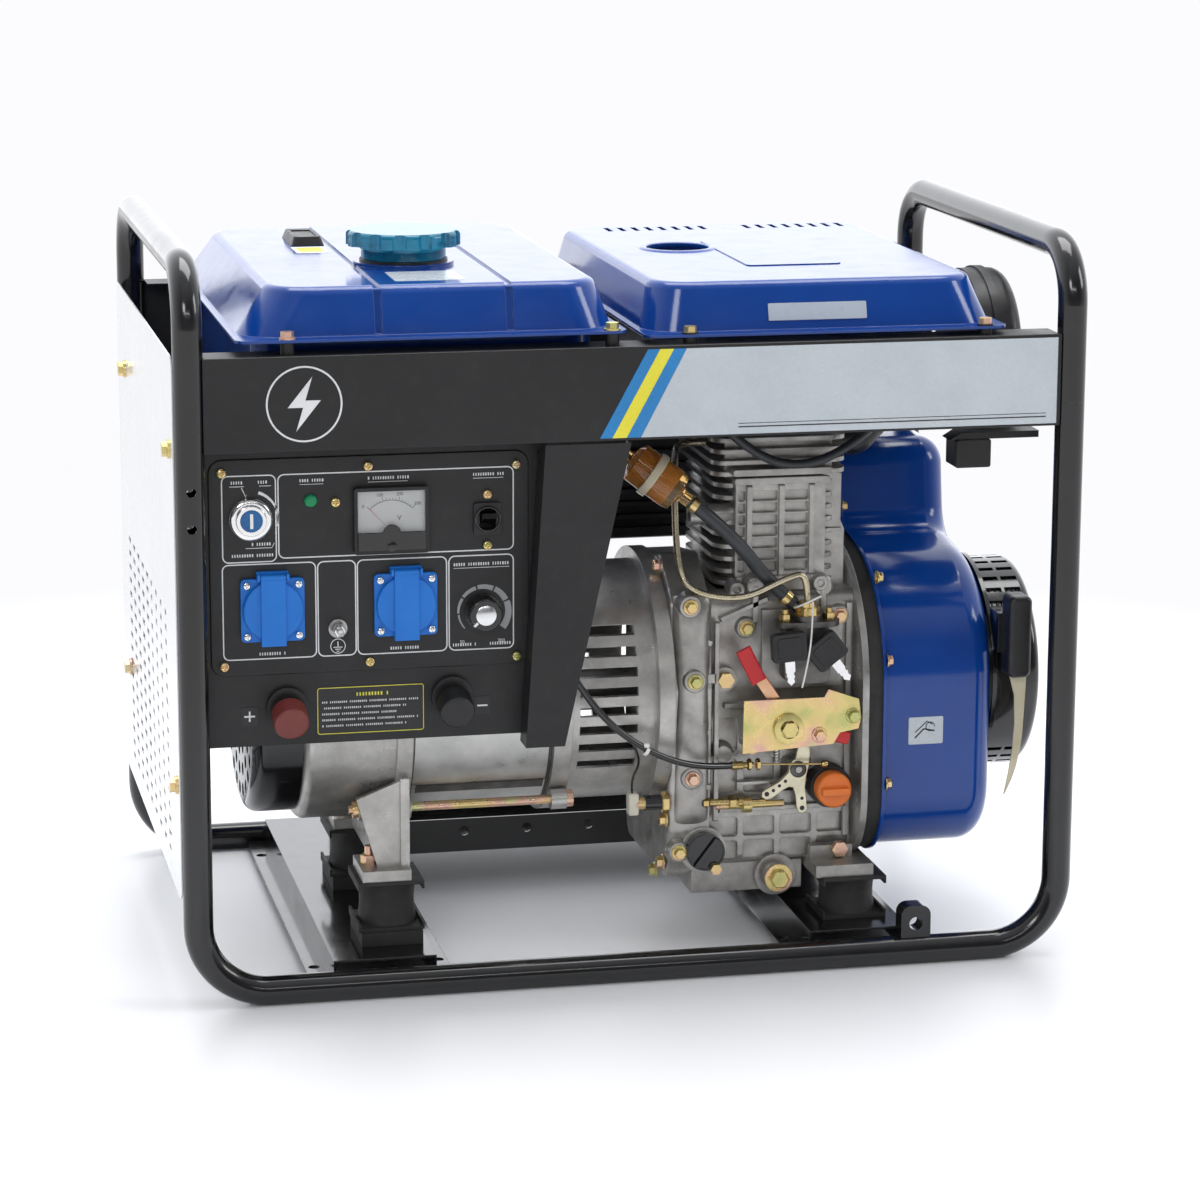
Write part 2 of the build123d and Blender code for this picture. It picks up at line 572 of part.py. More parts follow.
# ---- Engine --------------------------------------------------------------------------------
case_left = 74.0
case_right = 218.9
case_front = -158.0
case_rear = 8.0
case_top = 322.0
cylinder_x = 153.0
with BuildPart() as crankcase:
    block(case_left, case_right, case_front, case_rear, 72, case_top)
    fillet(crankcase.edges().filter_by(Axis.X), 12)
    with BuildSketch(Plane(origin=(engine_x, 0, 0), x_dir=(0, 1, 0), z_dir=(1, 0, 0))) as gear_side:
        with BuildLine():
            Polyline((-150, 62), (0, 62), (12, 110), (12, 300), (-25, 340), (-110, 352), (-160, 318),
                     (-170, 240), (-166, 110), close=True)
        make_face()
        fillet(gear_side.vertices(), 14)
    extrude(gear_side.sketch, amount=38)
    fillet(crankcase.faces().sort_by(Axis.X)[0].edges(), 5)
    block(case_left, 176, -153, 0, 48, 80)
    disc_y(-160, -140, 150, 63, 19)
    for y0, y1 in ((-202, -138), (-12, 52)):
        block(178, 231, y0 + 6, y1 - 6, foot_right, foot_right + 11)
        block(180, case_right, max(y0 + 6, -168), min(y1 - 6, 20), foot_right, 90)
    with BuildSketch(front_plane(case_front, 151.5, 98)) as pockets:
        with GridLocations(34, 22, 4, 2):
            RectangleRounded(29, 18, 3)
    extrude(pockets.sketch, amount=-5, mode=Mode.SUBTRACT)
    with BuildSketch(front_plane(case_front, 134, 175)) as high_pockets:
        with GridLocations(34, 38, 3, 2):
            RectangleRounded(28, 32, 4)
    extrude(high_pockets.sketch, amount=-5, mode=Mode.SUBTRACT)
    disc_y(-176, -150, 196, 146, 19)
    disc_y(-168, -150, 81, 92, 21)
    disc_y(-166, -150, 100, 247, 11)
    disc_y(-164, -150, 150, 63, 11)
    disc_y(-165, -150, 66, 200, 9)
    disc_y(-165, -150, 68, 300, 9)
    block(134, 208, -164, -150, 236, 308)
    disc_y(-190, -165, 196, 146, 11 + running_fit, mode=Mode.SUBTRACT)
    block(case_left + 16, case_right - 10, -146, -6, 58, case_top - 10, mode=Mode.SUBTRACT)
    block(100, 206, -132, -18, 300, case_top + 5, mode=Mode.SUBTRACT)
    disc_x(engine_x - 5, case_right + 5, crank_y, crank_z, 20 + running_fit, mode=Mode.SUBTRACT)
    disc_y(-175, -150, 166.5, 163, 3.0)
crankcase.part.label = "crankcase"
export_step(crankcase.part, "parts/crankcase.step")

with BuildPart() as cylinder_block:
    block(112, 194, -130, -20, case_top + 0.1, 424)
    for i in range(9):
        z = case_top + 4 + i * 11
        with BuildSketch(Plane.XY.offset(z)) as fin:
            with Locations((cylinder_x, crank_y)):
                RectangleRounded(112, 130, 18)
        extrude(fin.sketch, amount=4)
    block(112, 194, -150, -120, case_top + 0.1, 424)
    with BuildSketch(front_plane(-150)) as pockets:
        for x, width in ((117.6, 6), (138.5, 23), (167.3, 21.5)):
            for i in range(7):
                with Locations((x, 344.2 + i * 10.65)):
                    RectangleRounded(width, 9.0, 1.5)
    extrude(pockets.sketch, amount=-5, mode=Mode.SUBTRACT)
    disc_z(case_top - 5, 430, cylinder_x, crank_y, 43, mode=Mode.SUBTRACT)
    disc_x(74, 113, -132, 390, 9)
    disc_x(70, 90, -132, 390, 6, mode=Mode.SUBTRACT)
cylinder_block.part.label = "cylinder_block"
export_step(cylinder_block.part, "parts/cylinder_block.step")

with BuildPart() as cylinder_head:
    block(104, 202, -140, -10, 424.1, 462)
    for z in (426, 436, 446, 456):
        with BuildSketch(Plane.XY.offset(z)) as fin:
            with Locations((cylinder_x, crank_y)):
                RectangleRounded(122, 148, 14)
        extrude(fin.sketch, amount=4)
    rounded_loft((110, 196, -132, -18), (114, 192, -128, -22), 16, 462, 494)
    fillet(cylinder_head.faces().sort_by(Axis.Z)[-1].edges(), 6)
    disc_z(432, 463, 126, crank_y, 10, mode=Mode.SUBTRACT)
cylinder_head.part.label = "cylinder_head"
export_step(cylinder_head.part, "parts/cylinder_head.step")

pump_x = 171.0
pump_y = -179.0
with BuildPart() as injection_pump:
    block(pump_x - 21, pump_x + 21, -183, -164.1, 244, 296)
    fillet(injection_pump.edges().filter_by(Axis.Y), 8)
    with BuildSketch(Plane.XY.offset(296)) as flange:
        with Locations((pump_x, -178)):
            SlotOverall(58, 26)
    extrude(flange.sketch, amount=5)
    disc_z(300, 306, pump_x, pump_y, 12)
    disc_z(300, 318, pump_x, pump_y, 8)
    hex_head_z(pump_x, pump_y, 306, 313, 19)
    for dx in (-1, 1):
        hex_head_z(pump_x + 20 * dx, -178, 301, 307, 10)
        disc_z(301, 311, pump_x + 20 * dx, -178, 3)
injection_pump.part.label = "injection_pump"
export_step(injection_pump.part, "parts/injection_pump.step")

with BuildPart() as high_pressure_pipe:
    tube([(91.8, -118, 452), (68, -118, 452), (56, -150, 446), (56, -160, 345), (74, -172, 329),
          (112, -180, 324), (148, -182, 336), (pump_x, pump_y, 339), (pump_x, pump_y, 318.1)], 3.0, 9)
high_pressure_pipe.part.label = "high_pressure_pipe"
export_step(high_pressure_pipe.part, "parts/high_pressure_pipe.step")

# Fuel filter leaning down to the right, and its hose to the pump
filter_top = Vector(12, -172, 450)
filter_low = Vector(60, -184, 414)
filter_dir = (filter_low - filter_top).normalized()
with BuildPart() as fuel_filter:
    for start, radius, length in ((0, 17, 46), (2, 19, 6), (44, 18.5, 6), (50, 9, 14), (-12, 6, 14)):
        spot = filter_top + filter_dir * start
        with BuildSketch(Plane(origin=spot, z_dir=filter_dir)) as ring:
            Circle(radius)
        extrude(ring.sketch, amount=length)
fuel_filter.part.label = "fuel_filter"
export_step(fuel_filter.part, "parts/fuel_filter.step")

hose_start = filter_top + filter_dir * 64.1
hose_knee = hose_start + filter_dir * 20
with BuildPart() as fuel_hoses:
    tube([tuple(hose_start), tuple(hose_knee), (112, -184, 366), (132, -168, 340), (160, -172, 314.5)], 6.2, 16)
    tube([(96, -166, 474), (124, -168, 450), (160, -170, 443), (200, -168, 448), (230, -160, 466)], 4.0, 20)
fuel_hoses.part.label = "fuel_hoses"
export_step(fuel_hoses.part, "parts/fuel_hoses.step")

# Speed control: plate on spacers, stop and run lever, governor lever, cable
plate_y = -190.0
lever_pivot = (151.6, 206.3)
with BuildPart() as control_plate:
    with BuildSketch(front_plane(plate_y)) as plate:
        with BuildLine():
            Polyline((111, 233), (184, 233), (188, 240), (216, 230), (218.4, 213), (216, 203), (199, 200),
                     (193, 190), (110, 185), close=True)
        make_face()
    extrude(plate.sketch, amount=2)
    for x, z in ((120, 189), (212, 213)):
        disc_y(plate_y, case_front - 0.05, x, z, 5)
    disc_y(plate_y, case_front - 0.05, *lever_pivot, 4.0)
    disc_y(plate_y - 4, plate_y - 2, *lever_pivot, 13.0)
    hex_head_y(*lever_pivot, plate_y - 10, plate_y - 4, 13)
control_plate.part.label = "control_plate"
export_step(control_plate.part, "parts/control_plate.step")

lever_y = plate_y + 4.5       # the lever swings behind the plate
with BuildPart() as speed_lever:
    with BuildSketch(front_plane(lever_y)) as arms:
        with BuildLine():
            Polyline((144, 204), (136, 228), (120, 252), (108, 275), (115, 279), (130, 256), (147, 230), (158, 212),
                     (172, 208), (200, 201), (200, 192), (170, 197), (152, 197), close=True)
        make_face()
        with Locations(lever_pivot):
            Circle(11)
    extrude(arms.sketch, amount=2.5)
    disc_y(lever_y - 10, lever_y + 5, *lever_pivot, 4.0 + running_fit, mode=Mode.SUBTRACT)
    with BuildSketch(Plane(origin=(125.5, lever_y - 1.25, 249), x_dir=(0, 1, 0), z_dir=(-0.445, 0, 0.895))) as sleeve:
        RectangleRounded(5, 14, 2)
    extrude(sleeve.sketch, amount=33)
    with BuildSketch(Plane(origin=(190, lever_y - 1.25, 198), x_dir=(0, 1, 0), z_dir=(0.97, 0, -0.24))) as tip:
        RectangleRounded(5, 12, 2)
    extrude(tip.sketch, amount=19)
speed_lever.part.label = "speed_lever"
export_step(speed_lever.part, "parts/speed_lever.step")

governor_pivot = (166.5, 163.0)
with BuildPart() as governor_lever:
    disc_y(-173, -162.2, *governor_pivot, 7)
    with BuildSketch(front_plane(-170)) as arms:
        for x, z in ((138, 141.5), (170.7, 127), (171.7, 184)):
            with Locations((x, z)):
                Circle(5)
        for x, z in ((138, 141.5), (170.7, 127), (171.7, 184)):
            length = math.dist(governor_pivot, (x, z))
            angle = math.degrees(math.atan2(z - governor_pivot[1], x - governor_pivot[0]))
            with Locations(Location(((x + governor_pivot[0]) / 2, (z + governor_pivot[1]) / 2), angle)):
                Rectangle(length, 8)
    extrude(arms.sketch, amount=2)
    disc_y(-180, -160, *governor_pivot, 3.0 + running_fit, mode=Mode.SUBTRACT)
    disc_y(-180, -160, 138, 141.5, 2.2, mode=Mode.SUBTRACT)
    disc_y(-180, -160, 170.7, 127, 2.2, mode=Mode.SUBTRACT)
governor_lever.part.label = "governor_lever"
export_step(governor_lever.part, "parts/governor_lever.step")

with BuildPart() as throttle_cable:
    tube([(-66, -214, 300), (-38, -210, 252), (-4, -206, 214), (36, -202, 189), (80, -190, 177),
          (108, -180, 172)], 3.0, 24)
    for start, end, radius in (((106, 172), (124, 172), 5.0), ((122, 172), (190, 169), 0.9),
                               ((186, 169), (191, 169), 3.5)):
        a = Vector(start[0], -180, start[1])
        b = Vector(end[0], -180, end[1])
        with BuildSketch(Plane(origin=a, z_dir=b - a)) as round_bar:
            Circle(radius)
        extrude(round_bar.sketch, amount=(b - a).length)
throttle_cable.part.label = "throttle_cable"
export_step(throttle_cable.part, "parts/throttle_cable.step")

oil_at = (196, 146)
with BuildPart() as oil_cap:
    disc_y(-190, -176.1, *oil_at, 16)
    fillet(oil_cap.faces().sort_by(Axis.Y)[0].edges(), 3)
    with BuildSketch(front_plane(-190, oil_at[0], oil_at[1])) as grip:
        Rectangle(25, 6)
    extrude(grip.sketch, amount=5)
    disc_y(-176.2, -166, *oil_at, 11)
oil_cap.part.label = "oil_cap"
export_step(oil_cap.part, "parts/oil_cap.step")

with BuildPart() as engine_fittings:
    hex_head_y(150, 63, -171, -164.1, 17)
    hex_head_y(206, 87, -175, -168.1, 13)
    disc_y(-176, -168.1, 81, 92, 17)
    hex_head_y(90, 77, -182, -176, 9)
    hex_head_y(100, 247, -172, -166.1, 13)
    disc_x(92, 154, -169, 132, 3.2)
    disc_x(116, 124, -169, 132, 7)
    disc_x(44, engine_x - 0.1, -163, 137, 8)
    disc_x(28, 44, -163, 137, 7)
    disc_x(20, 28, -163, 137, 5.5)
engine_fittings.part.label = "engine_fittings"
export_step(engine_fittings.part, "parts/engine_fittings.step")

# Air cleaner drum at the right rear, with its pipe to the head
with BuildPart() as air_cleaner:
    disc_x(333, 372, -90, 525, 72)
    fillet(air_cleaner.faces().sort_by(Axis.X)[-1].edges(), 12)
    disc_x(345, 353, -90, 525, 74)
    disc_x(371, 378, -90, 525, 14)
    tube([(340, -90, 480), (270, -90, 480), (238, -90, 446), (214.3, -90, 446)], 15, 10)
air_cleaner.part.label = "air_cleaner"
export_step(air_cleaner.part, "parts/air_cleaner.step")

# Blower housing: scroll outline with a rounded outer edge, open towards the engine
scroll_lobes = [(-75, 235, 111), (-126, 140, 60), (-26, 140, 60), (-43, 240, 111)]
duct_lobes = [(0, 404, 26), (42, 404, 26), (8, 300, 50), (18, 300, 50)]


def scroll_sketch(x, grow):
    """Outline of the scroll and the air duct above it: rounded lobes, blended where they meet."""
    with BuildSketch(Plane(origin=(x, 0, 0), x_dir=(0, 1, 0), z_dir=(1, 0, 0))) as outline:
        for lobes in (scroll_lobes, duct_lobes):
            with BuildSketch(mode=Mode.PRIVATE) as rounded:
                for y, z, radius in lobes:
                    with Locations((y, z)):
                        Circle(radius)
                make_hull()
            add(rounded.sketch)
        fillet([v for v in outline.vertices() if 318 < v.Y < 380 and v.X < 0], 24)
        if grow != 0:
            offset(amount=grow)
    return outline.sketch


housing_x = 239.0
housing_end = 345.0
with BuildPart() as scroll_core:
    extrude(scroll_sketch(housing_x - 1, -2.2), amount=housing_end - housing_x - 1.2)
    fillet(scroll_core.faces().sort_by(Axis.X)[-1].edges(), 21)

with BuildPart() as blower_housing:
    extrude(scroll_sketch(housing_x, 0), amount=housing_end - housing_x)
    fillet(blower_housing.faces().sort_by(Axis.X)[-1].edges(), 23)
    extrude(scroll_sketch(housing_x, 5), amount=3)
    add(scroll_core.part, mode=Mode.SUBTRACT)
    disc_x(320, 360, crank_y, crank_z, 96, mode=Mode.SUBTRACT)
    extrude(scroll_sketch(case_right + 0.1, 8), amount=6)
    extrude(scroll_sketch(case_right + 6.2, 3), amount=housing_x - case_right - 6.3)
    extrude(scroll_sketch(case_right + 6.1, -10), amount=housing_x - case_right - 6.0, mode=Mode.SUBTRACT)
    disc_x(case_right - 5, case_right + 8, crank_y, crank_z, 60, mode=Mode.SUBTRACT)
    for y0, y1 in ((-200, -143.5), (-6.5, 50)):
        block(case_right - 1, case_right + 7, y0, y1, 60, foot_right + 11.4, mode=Mode.SUBTRACT)
blower_housing.part.label = "blower_housing"
export_step(blower_housing.part, "parts/blower_housing.step")

recoil_radius = 95.8
recoil_end = 392.0
with BuildPart() as recoil_housing:
    disc_x(322, recoil_end, crank_y, crank_z, recoil_radius)
    fillet(recoil_housing.faces().sort_by(Axis.X)[-1].edges(), 8)
    disc_x(housing_end + 0.1, housing_end + 4, crank_y, crank_z, 101)
    disc_x(320, recoil_end - 3, crank_y, crank_z, recoil_radius - 3, mode=Mode.SUBTRACT)
    disc_x(338, recoil_end - 2, crank_y, crank_z, 8)
    for x in (358, 376):
        for step in range(40):
            if abs(step - 20) < 5:
                continue        # smooth behind the handle
            turn = math.radians(step * 9)
            with Locations(Location((x, crank_y + recoil_radius * math.cos(turn),
                                     crank_z + recoil_radius * math.sin(turn)), (step * 9, 0, 0))):
                Box(15, 12, 5.5, mode=Mode.SUBTRACT)
    with Locations(Location((recoil_end, crank_y, crank_z), (0, 90, 0))):
        with PolarLocations(58, 24):
            Box(36, 5, 12, mode=Mode.SUBTRACT)
    block(346, 374, -184, -160, 264, 300)
    disc_y(-190, -150, 360, 282, 4.5, mode=Mode.SUBTRACT)
recoil_housing.part.label = "recoil_housing"
export_step(recoil_housing.part, "parts/recoil_housing.step")

with BuildPart() as recoil_handle:
    with BuildSketch(front_plane(-184.2, 360, 282)) as grip:
        RectangleRounded(21, 74, 6)
    extrude(grip.sketch, amount=22)
    fillet(recoil_handle.faces().sort_by(Axis.Y)[0].edges(), 4)
    disc_y(-184.3, -168, 360, 282, 3.5)
recoil_handle.part.label = "recoil_handle"
export_step(recoil_handle.part, "parts/recoil_handle.step")

pulley_radius = 65.0
with BuildPart() as recoil_pulley:
    disc_x(344, 362, crank_y, crank_z, pulley_radius)
    disc_x(349, 357, crank_y, crank_z, pulley_radius - 6, mode=Mode.SUBTRACT)
    disc_x(348, 358, crank_y, crank_z, pulley_radius - 6.5)
    disc_x(340, 370, crank_y, crank_z, 8 + running_fit, mode=Mode.SUBTRACT)
recoil_pulley.part.label = "recoil_pulley"
export_step(recoil_pulley.part, "parts/recoil_pulley.step")

with BuildPart() as crankshaft:
    disc_x(-305, -240, crank_y, crank_z, shaft_radius)
    disc_x(-242, 80, crank_y, crank_z, 18)
    disc_x(stator_x + 3, front_bracket_x - 3, crank_y, crank_z, 75.4)
    disc_x(60, 128, crank_y, crank_z, 20)
    disc_x(170, 232, crank_y, crank_z, 20)
    disc_x(228, 316, crank_y, crank_z, 15)
    for x in (124, 164):
        block(x, x + 12, crank_y - 26, crank_y + 26, crank_z - 58, crank_z + 55)
    disc_x(130, 170, crank_y, crank_z + 35, 17)
crankshaft.part.label = "crankshaft"
export_step(crankshaft.part, "parts/crankshaft.step")

with BuildPart() as flywheel_fan:
    disc_x(252, 280, crank_y, crank_z, 88)
    with Locations(Location((288, crank_y, crank_z), (0, 90, 0))):
        with PolarLocations(70, 20):
            Box(30, 3, 24)
    disc_x(276, 290, crank_y, crank_z, 40)
    disc_x(240, 330, crank_y, crank_z, 15.02, mode=Mode.SUBTRACT)
flywheel_fan.part.label = "flywheel_fan"
export_step(flywheel_fan.part, "parts/flywheel_fan.step")

with BuildPart() as starter_motor:
    disc_x(96, 214, 50, 165, 36)
    disc_x(88, 97, 50, 165, 30)
    disc_x(120, 200, 46, 222, 20)
    block(150, 190, 34, 60, 195, 205)
    block(202, 214, 12, 80, 130, 240)
starter_motor.part.label = "starter_motor"
export_step(starter_motor.part, "parts/starter_motor.step")

# ---- Screws, bolts and tie rods ------------------------------------------------------------
with BuildPart() as fasteners:
    for x, z in panel_screws:
        disc_y(-224.5, raised_face, x, z, 3.8)
        disc_y(raised_face, -214, x, z, 1.5)
    for x, z in socket_at:
        for dx in (-22, 22):
            for dz in (-22, 22):
                disc_y(-228, -226, x + dx, z + dz, 3.0)
    for y, z in side_bolts:
        disc_x(-394.4, -392.2, y, z, 8)
        with BuildSketch(Plane(origin=(-394.4, y, z), z_dir=(-1, 0, 0))) as head:
            RegularPolygon(5.5, 6, major_radius=False)
        extrude(head.sketch, amount=4.6)
        disc_x(-393, -386, y, z, 3.0)
    for x, y in top_bolts:
        seat = 572.5 if x < 0 else 567.5
        disc_z(560, seat - 2.5, x, y, 6.0)
        disc_z(seat, seat + 1.5, x, y, 7.0)
        hex_head_z(x, y, seat + 1.5, seat + 6.5, 10)
        disc_z(556, seat + 1, x, y, 3.0)
    for y, z in rod_places:
        disc_x(stator_x - 54, front_bracket_x + 20, y, z, 4.0)
        disc_x(stator_x - 51, stator_x - 46, y, z, 7.5)
        disc_x(front_bracket_x + 14.1, front_bracket_x + 20, y, z, 7.5)
    for x, y, padded in mounts[:2]:
        hex_head_z(x - 15, y, foot_left + 10, foot_left + 18, 13)
        disc_z(foot_left + 10, foot_left + 26, x - 15, y, 4.0)
fasteners.part.label = "fasteners"
export_step(fasteners.part, "parts/fasteners.step")
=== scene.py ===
"""Looks for the engine driven welder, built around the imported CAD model. Metres, front at -Y, +Z up."""
import math

import bmesh
import bpy
from mathutils import Matrix, Vector


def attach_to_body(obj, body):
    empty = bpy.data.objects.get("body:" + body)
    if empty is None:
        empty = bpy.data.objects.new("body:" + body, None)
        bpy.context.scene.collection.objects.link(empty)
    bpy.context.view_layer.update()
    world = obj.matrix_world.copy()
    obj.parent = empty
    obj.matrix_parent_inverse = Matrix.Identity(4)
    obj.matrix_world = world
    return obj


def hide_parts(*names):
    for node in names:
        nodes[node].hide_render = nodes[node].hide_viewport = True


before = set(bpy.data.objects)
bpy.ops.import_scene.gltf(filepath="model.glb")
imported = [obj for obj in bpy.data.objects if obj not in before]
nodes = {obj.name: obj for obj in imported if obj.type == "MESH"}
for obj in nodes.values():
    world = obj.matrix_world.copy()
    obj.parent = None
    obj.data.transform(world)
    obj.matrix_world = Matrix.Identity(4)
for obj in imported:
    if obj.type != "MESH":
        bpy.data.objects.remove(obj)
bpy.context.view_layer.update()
MM = 0.001


# ---- Materials -------------------------------------------------------------------------------
def new_material(name):
    mat = bpy.data.materials.new(name)
    mat.use_nodes = True
    tree = mat.node_tree
    return mat, tree, tree.nodes["Principled BSDF"]


def noise(tree, scale, detail=4.0, roughness=0.55):
    """Noise in object space, so it stays on the part."""
    place = tree.nodes.new("ShaderNodeTexCoord")
    tex = tree.nodes.new("ShaderNodeTexNoise")
    tex.inputs["Scale"].default_value = scale
    tex.inputs["Detail"].default_value = detail
    tex.inputs["Roughness"].default_value = roughness
    tree.links.new(place.outputs["Object"], tex.inputs["Vector"])
    return tex.outputs["Fac"]


def ramp(tree, source, stops):
    """Colour ramp from (position, colour) stops."""
    node = tree.nodes.new("ShaderNodeValToRGB")
    elements = node.color_ramp.elements
    while len(elements) < len(stops):
        elements.new(0.5)
    for element, (position, colour) in zip(elements, stops):
        element.position = position
        element.color = (*colour, 1.0)
    tree.links.new(source, node.inputs["Fac"])
    return node.outputs["Color"]


def level(tree, source, low, high, from_low=0.3, from_high=0.7):
    node = tree.nodes.new("ShaderNodeMapRange")
    node.inputs["From Min"].default_value = from_low
    node.inputs["From Max"].default_value = from_high
    node.inputs["To Min"].default_value = low
    node.inputs["To Max"].default_value = high
    tree.links.new(source, node.inputs["Value"])
    return node.outputs["Result"]


def mix_colour(tree, fac, first, second, blend="MIX"):
    node = tree.nodes.new("ShaderNodeMix")
    node.data_type = "RGBA"
    node.blend_type = blend
    for socket, value in ((node.inputs["Factor"], fac), (node.inputs["A"], first),
            (node.inputs["B"], second)):
        if isinstance(value, (int, float)):
            socket.default_value = value
        elif isinstance(value, tuple):
            socket.default_value = (*value, 1.0)
        else:
            tree.links.new(value, socket)
    return node.outputs["Result"]


def bump(tree, shader, layers, round_edges=0.0):
    """Stacked bumps (height socket, strength, distance in metres), over edges rounded in shading."""
    normal = None
    if round_edges > 0:
        bevel = tree.nodes.new("ShaderNodeBevel")
        bevel.samples = 4
        bevel.inputs["Radius"].default_value = round_edges
        normal = bevel.outputs["Normal"]
    for height, strength, distance in layers:
        node = tree.nodes.new("ShaderNodeBump")
        node.inputs["Strength"].default_value = strength
        node.inputs["Distance"].default_value = distance
        tree.links.new(height, node.inputs["Height"])
        if normal is not None:
            tree.links.new(normal, node.inputs["Normal"])
        normal = node.outputs["Normal"]
    tree.links.new(normal, shader.inputs["Normal"])


def paint(name, low, high, gloss, coat, peel, round_edges=0.0008, dust=0.0):
    """Sprayed or powder paint: slight colour drift, orange peel, uneven gloss and a little dust."""
    mat, tree, shader = new_material(name)
    drift = ramp(tree, noise(tree, 9.0), [(0.35, low), (0.65, high)])
    if dust > 0:
        specks = level(tree, noise(tree, 60.0, 8.0, 0.7), 0.0, dust, 0.5, 0.8)
        drift = mix_colour(tree, specks, drift, (0.35, 0.34, 0.32))
    tree.links.new(drift, shader.inputs["Base Color"])
    tree.links.new(level(tree, noise(tree, 35.0, 6.0), *gloss), shader.inputs["Roughness"])
    shader.inputs["Coat Weight"].default_value = coat
    shader.inputs["Coat Roughness"].default_value = 0.06
    bump(tree, shader, [(noise(tree, 420.0, 2.0), peel, 0.0004), (noise(tree, 2200.0, 1.0), peel * 0.5,
        0.0001)], round_edges)
    return mat


def casting(name, low, mid, high, roughness=(0.38, 0.62), grain=0.35, stain=0.5, round_edges=0.0016):
    """Raw die casting: mottled grey, fine grain, darker stains in broad patches."""
    mat, tree, shader = new_material(name)
    base = ramp(tree, noise(tree, 38.0, 8.0, 0.65), [(0.3, low), (0.5, mid), (0.7, high)])
    patches = level(tree, noise(tree, 14.0, 5.0, 0.6), 0.0, stain, 0.48, 0.72)
    base = mix_colour(tree, patches, base, tuple(0.42 * v for v in low))
    tree.links.new(base, shader.inputs["Base Color"])
    shader.inputs["Metallic"].default_value = 0.75
    tree.links.new(level(tree, noise(tree, 70.0, 6.0), *roughness), shader.inputs["Roughness"])
    bump(tree, shader, [(noise(tree, 900.0, 3.0), grain, 0.0003), (noise(tree, 120.0, 4.0), 0.25, 0.0006)],
        round_edges)
    return mat


def metal(name, low, high, roughness, scratch=0.1, round_edges=0.0004):
    """Plated or machined metal with a faint grain."""
    mat, tree, shader = new_material(name)
    tree.links.new(ramp(tree, noise(tree, 55.0, 6.0), [(0.35, low), (0.65, high)]),
        shader.inputs["Base Color"])
    shader.inputs["Metallic"].default_value = 1.0
    tree.links.new(level(tree, noise(tree, 160.0, 5.0), *roughness), shader.inputs["Roughness"])
    bump(tree, shader, [(noise(tree, 1400.0, 2.0), scratch, 0.0001)], round_edges)
    return mat


def chromate(name):
    """Yellow zinc plate with the pink and green drift of thin passivation."""
    mat, tree, shader = new_material(name)
    tint = ramp(tree, noise(tree, 26.0, 3.0, 0.45), [(0.30, (0.50, 0.52, 0.20)), (0.42, (0.72, 0.58, 0.24)),
        (0.52, (0.78, 0.56, 0.28)), (0.60, (0.74, 0.44, 0.36)), (0.70, (0.62, 0.60, 0.30))])
    tree.links.new(tint, shader.inputs["Base Color"])
    shader.inputs["Metallic"].default_value = 0.85
    tree.links.new(level(tree, noise(tree, 90.0, 5.0), 0.2, 0.38), shader.inputs["Roughness"])
    bump(tree, shader, [(noise(tree, 900.0, 2.0), 0.08, 0.0001)], 0.0005)
    return mat


def galvanised(name):
    """Rolled galvanised sheet: soft spangle and faint rolling bands along the shaft."""
    mat, tree, shader = new_material(name)
    place = tree.nodes.new("ShaderNodeTexCoord")
    cells = tree.nodes.new("ShaderNodeTexVoronoi")
    cells.inputs["Scale"].default_value = 160.0
    tree.links.new(place.outputs["Object"], cells.inputs["Vector"])
    spangle = level(tree, cells.outputs["Color"], 0.0, 0.35, 0.0, 1.0)
    base = ramp(tree, noise(tree, 30.0, 7.0), [(0.35, (0.46, 0.46, 0.44)), (0.65, (0.66, 0.66, 0.63))])
    tree.links.new(mix_colour(tree, spangle, base, (0.56, 0.57, 0.56)), shader.inputs["Base Color"])
    shader.inputs["Metallic"].default_value = 0.9
    tree.links.new(level(tree, noise(tree, 60.0, 6.0), 0.24, 0.44), shader.inputs["Roughness"])
    bump(tree, shader, [(noise(tree, 300.0, 3.0), 0.08, 0.0002)], 0.0005)
    return mat


def moulding(name, low, high, roughness, grain=0.12, coat=0.0, round_edges=0.0006, scatter=0.0):
    """Moulded plastic with a fine grain and slight colour drift."""
    mat, tree, shader = new_material(name)
    tree.links.new(ramp(tree, noise(tree, 22.0, 5.0), [(0.35, low), (0.65, high)]),
        shader.inputs["Base Color"])
    tree.links.new(level(tree, noise(tree, 80.0, 5.0), *roughness), shader.inputs["Roughness"])
    shader.inputs["Coat Weight"].default_value = coat
    shader.inputs["Subsurface Weight"].default_value = scatter
    shader.inputs["Subsurface Scale"].default_value = 0.002
    bump(tree, shader, [(noise(tree, 1500.0, 2.0), grain, 0.00015)], round_edges)
    return mat


def clear_part(name, low, high, roughness, transmission, ior=1.49):
    """Tinted or clear plastic that lets light through, with faint flow marks."""
    mat, tree, shader = new_material(name)
    tree.links.new(ramp(tree, noise(tree, 40.0, 4.0), [(0.35, low), (0.65, high)]),
        shader.inputs["Base Color"])
    shader.inputs["Roughness"].default_value = roughness
    shader.inputs["Transmission Weight"].default_value = transmission
    shader.inputs["IOR"].default_value = ior
    bump(tree, shader, [(noise(tree, 120.0, 2.0), 0.06, 0.0004)])
    return mat


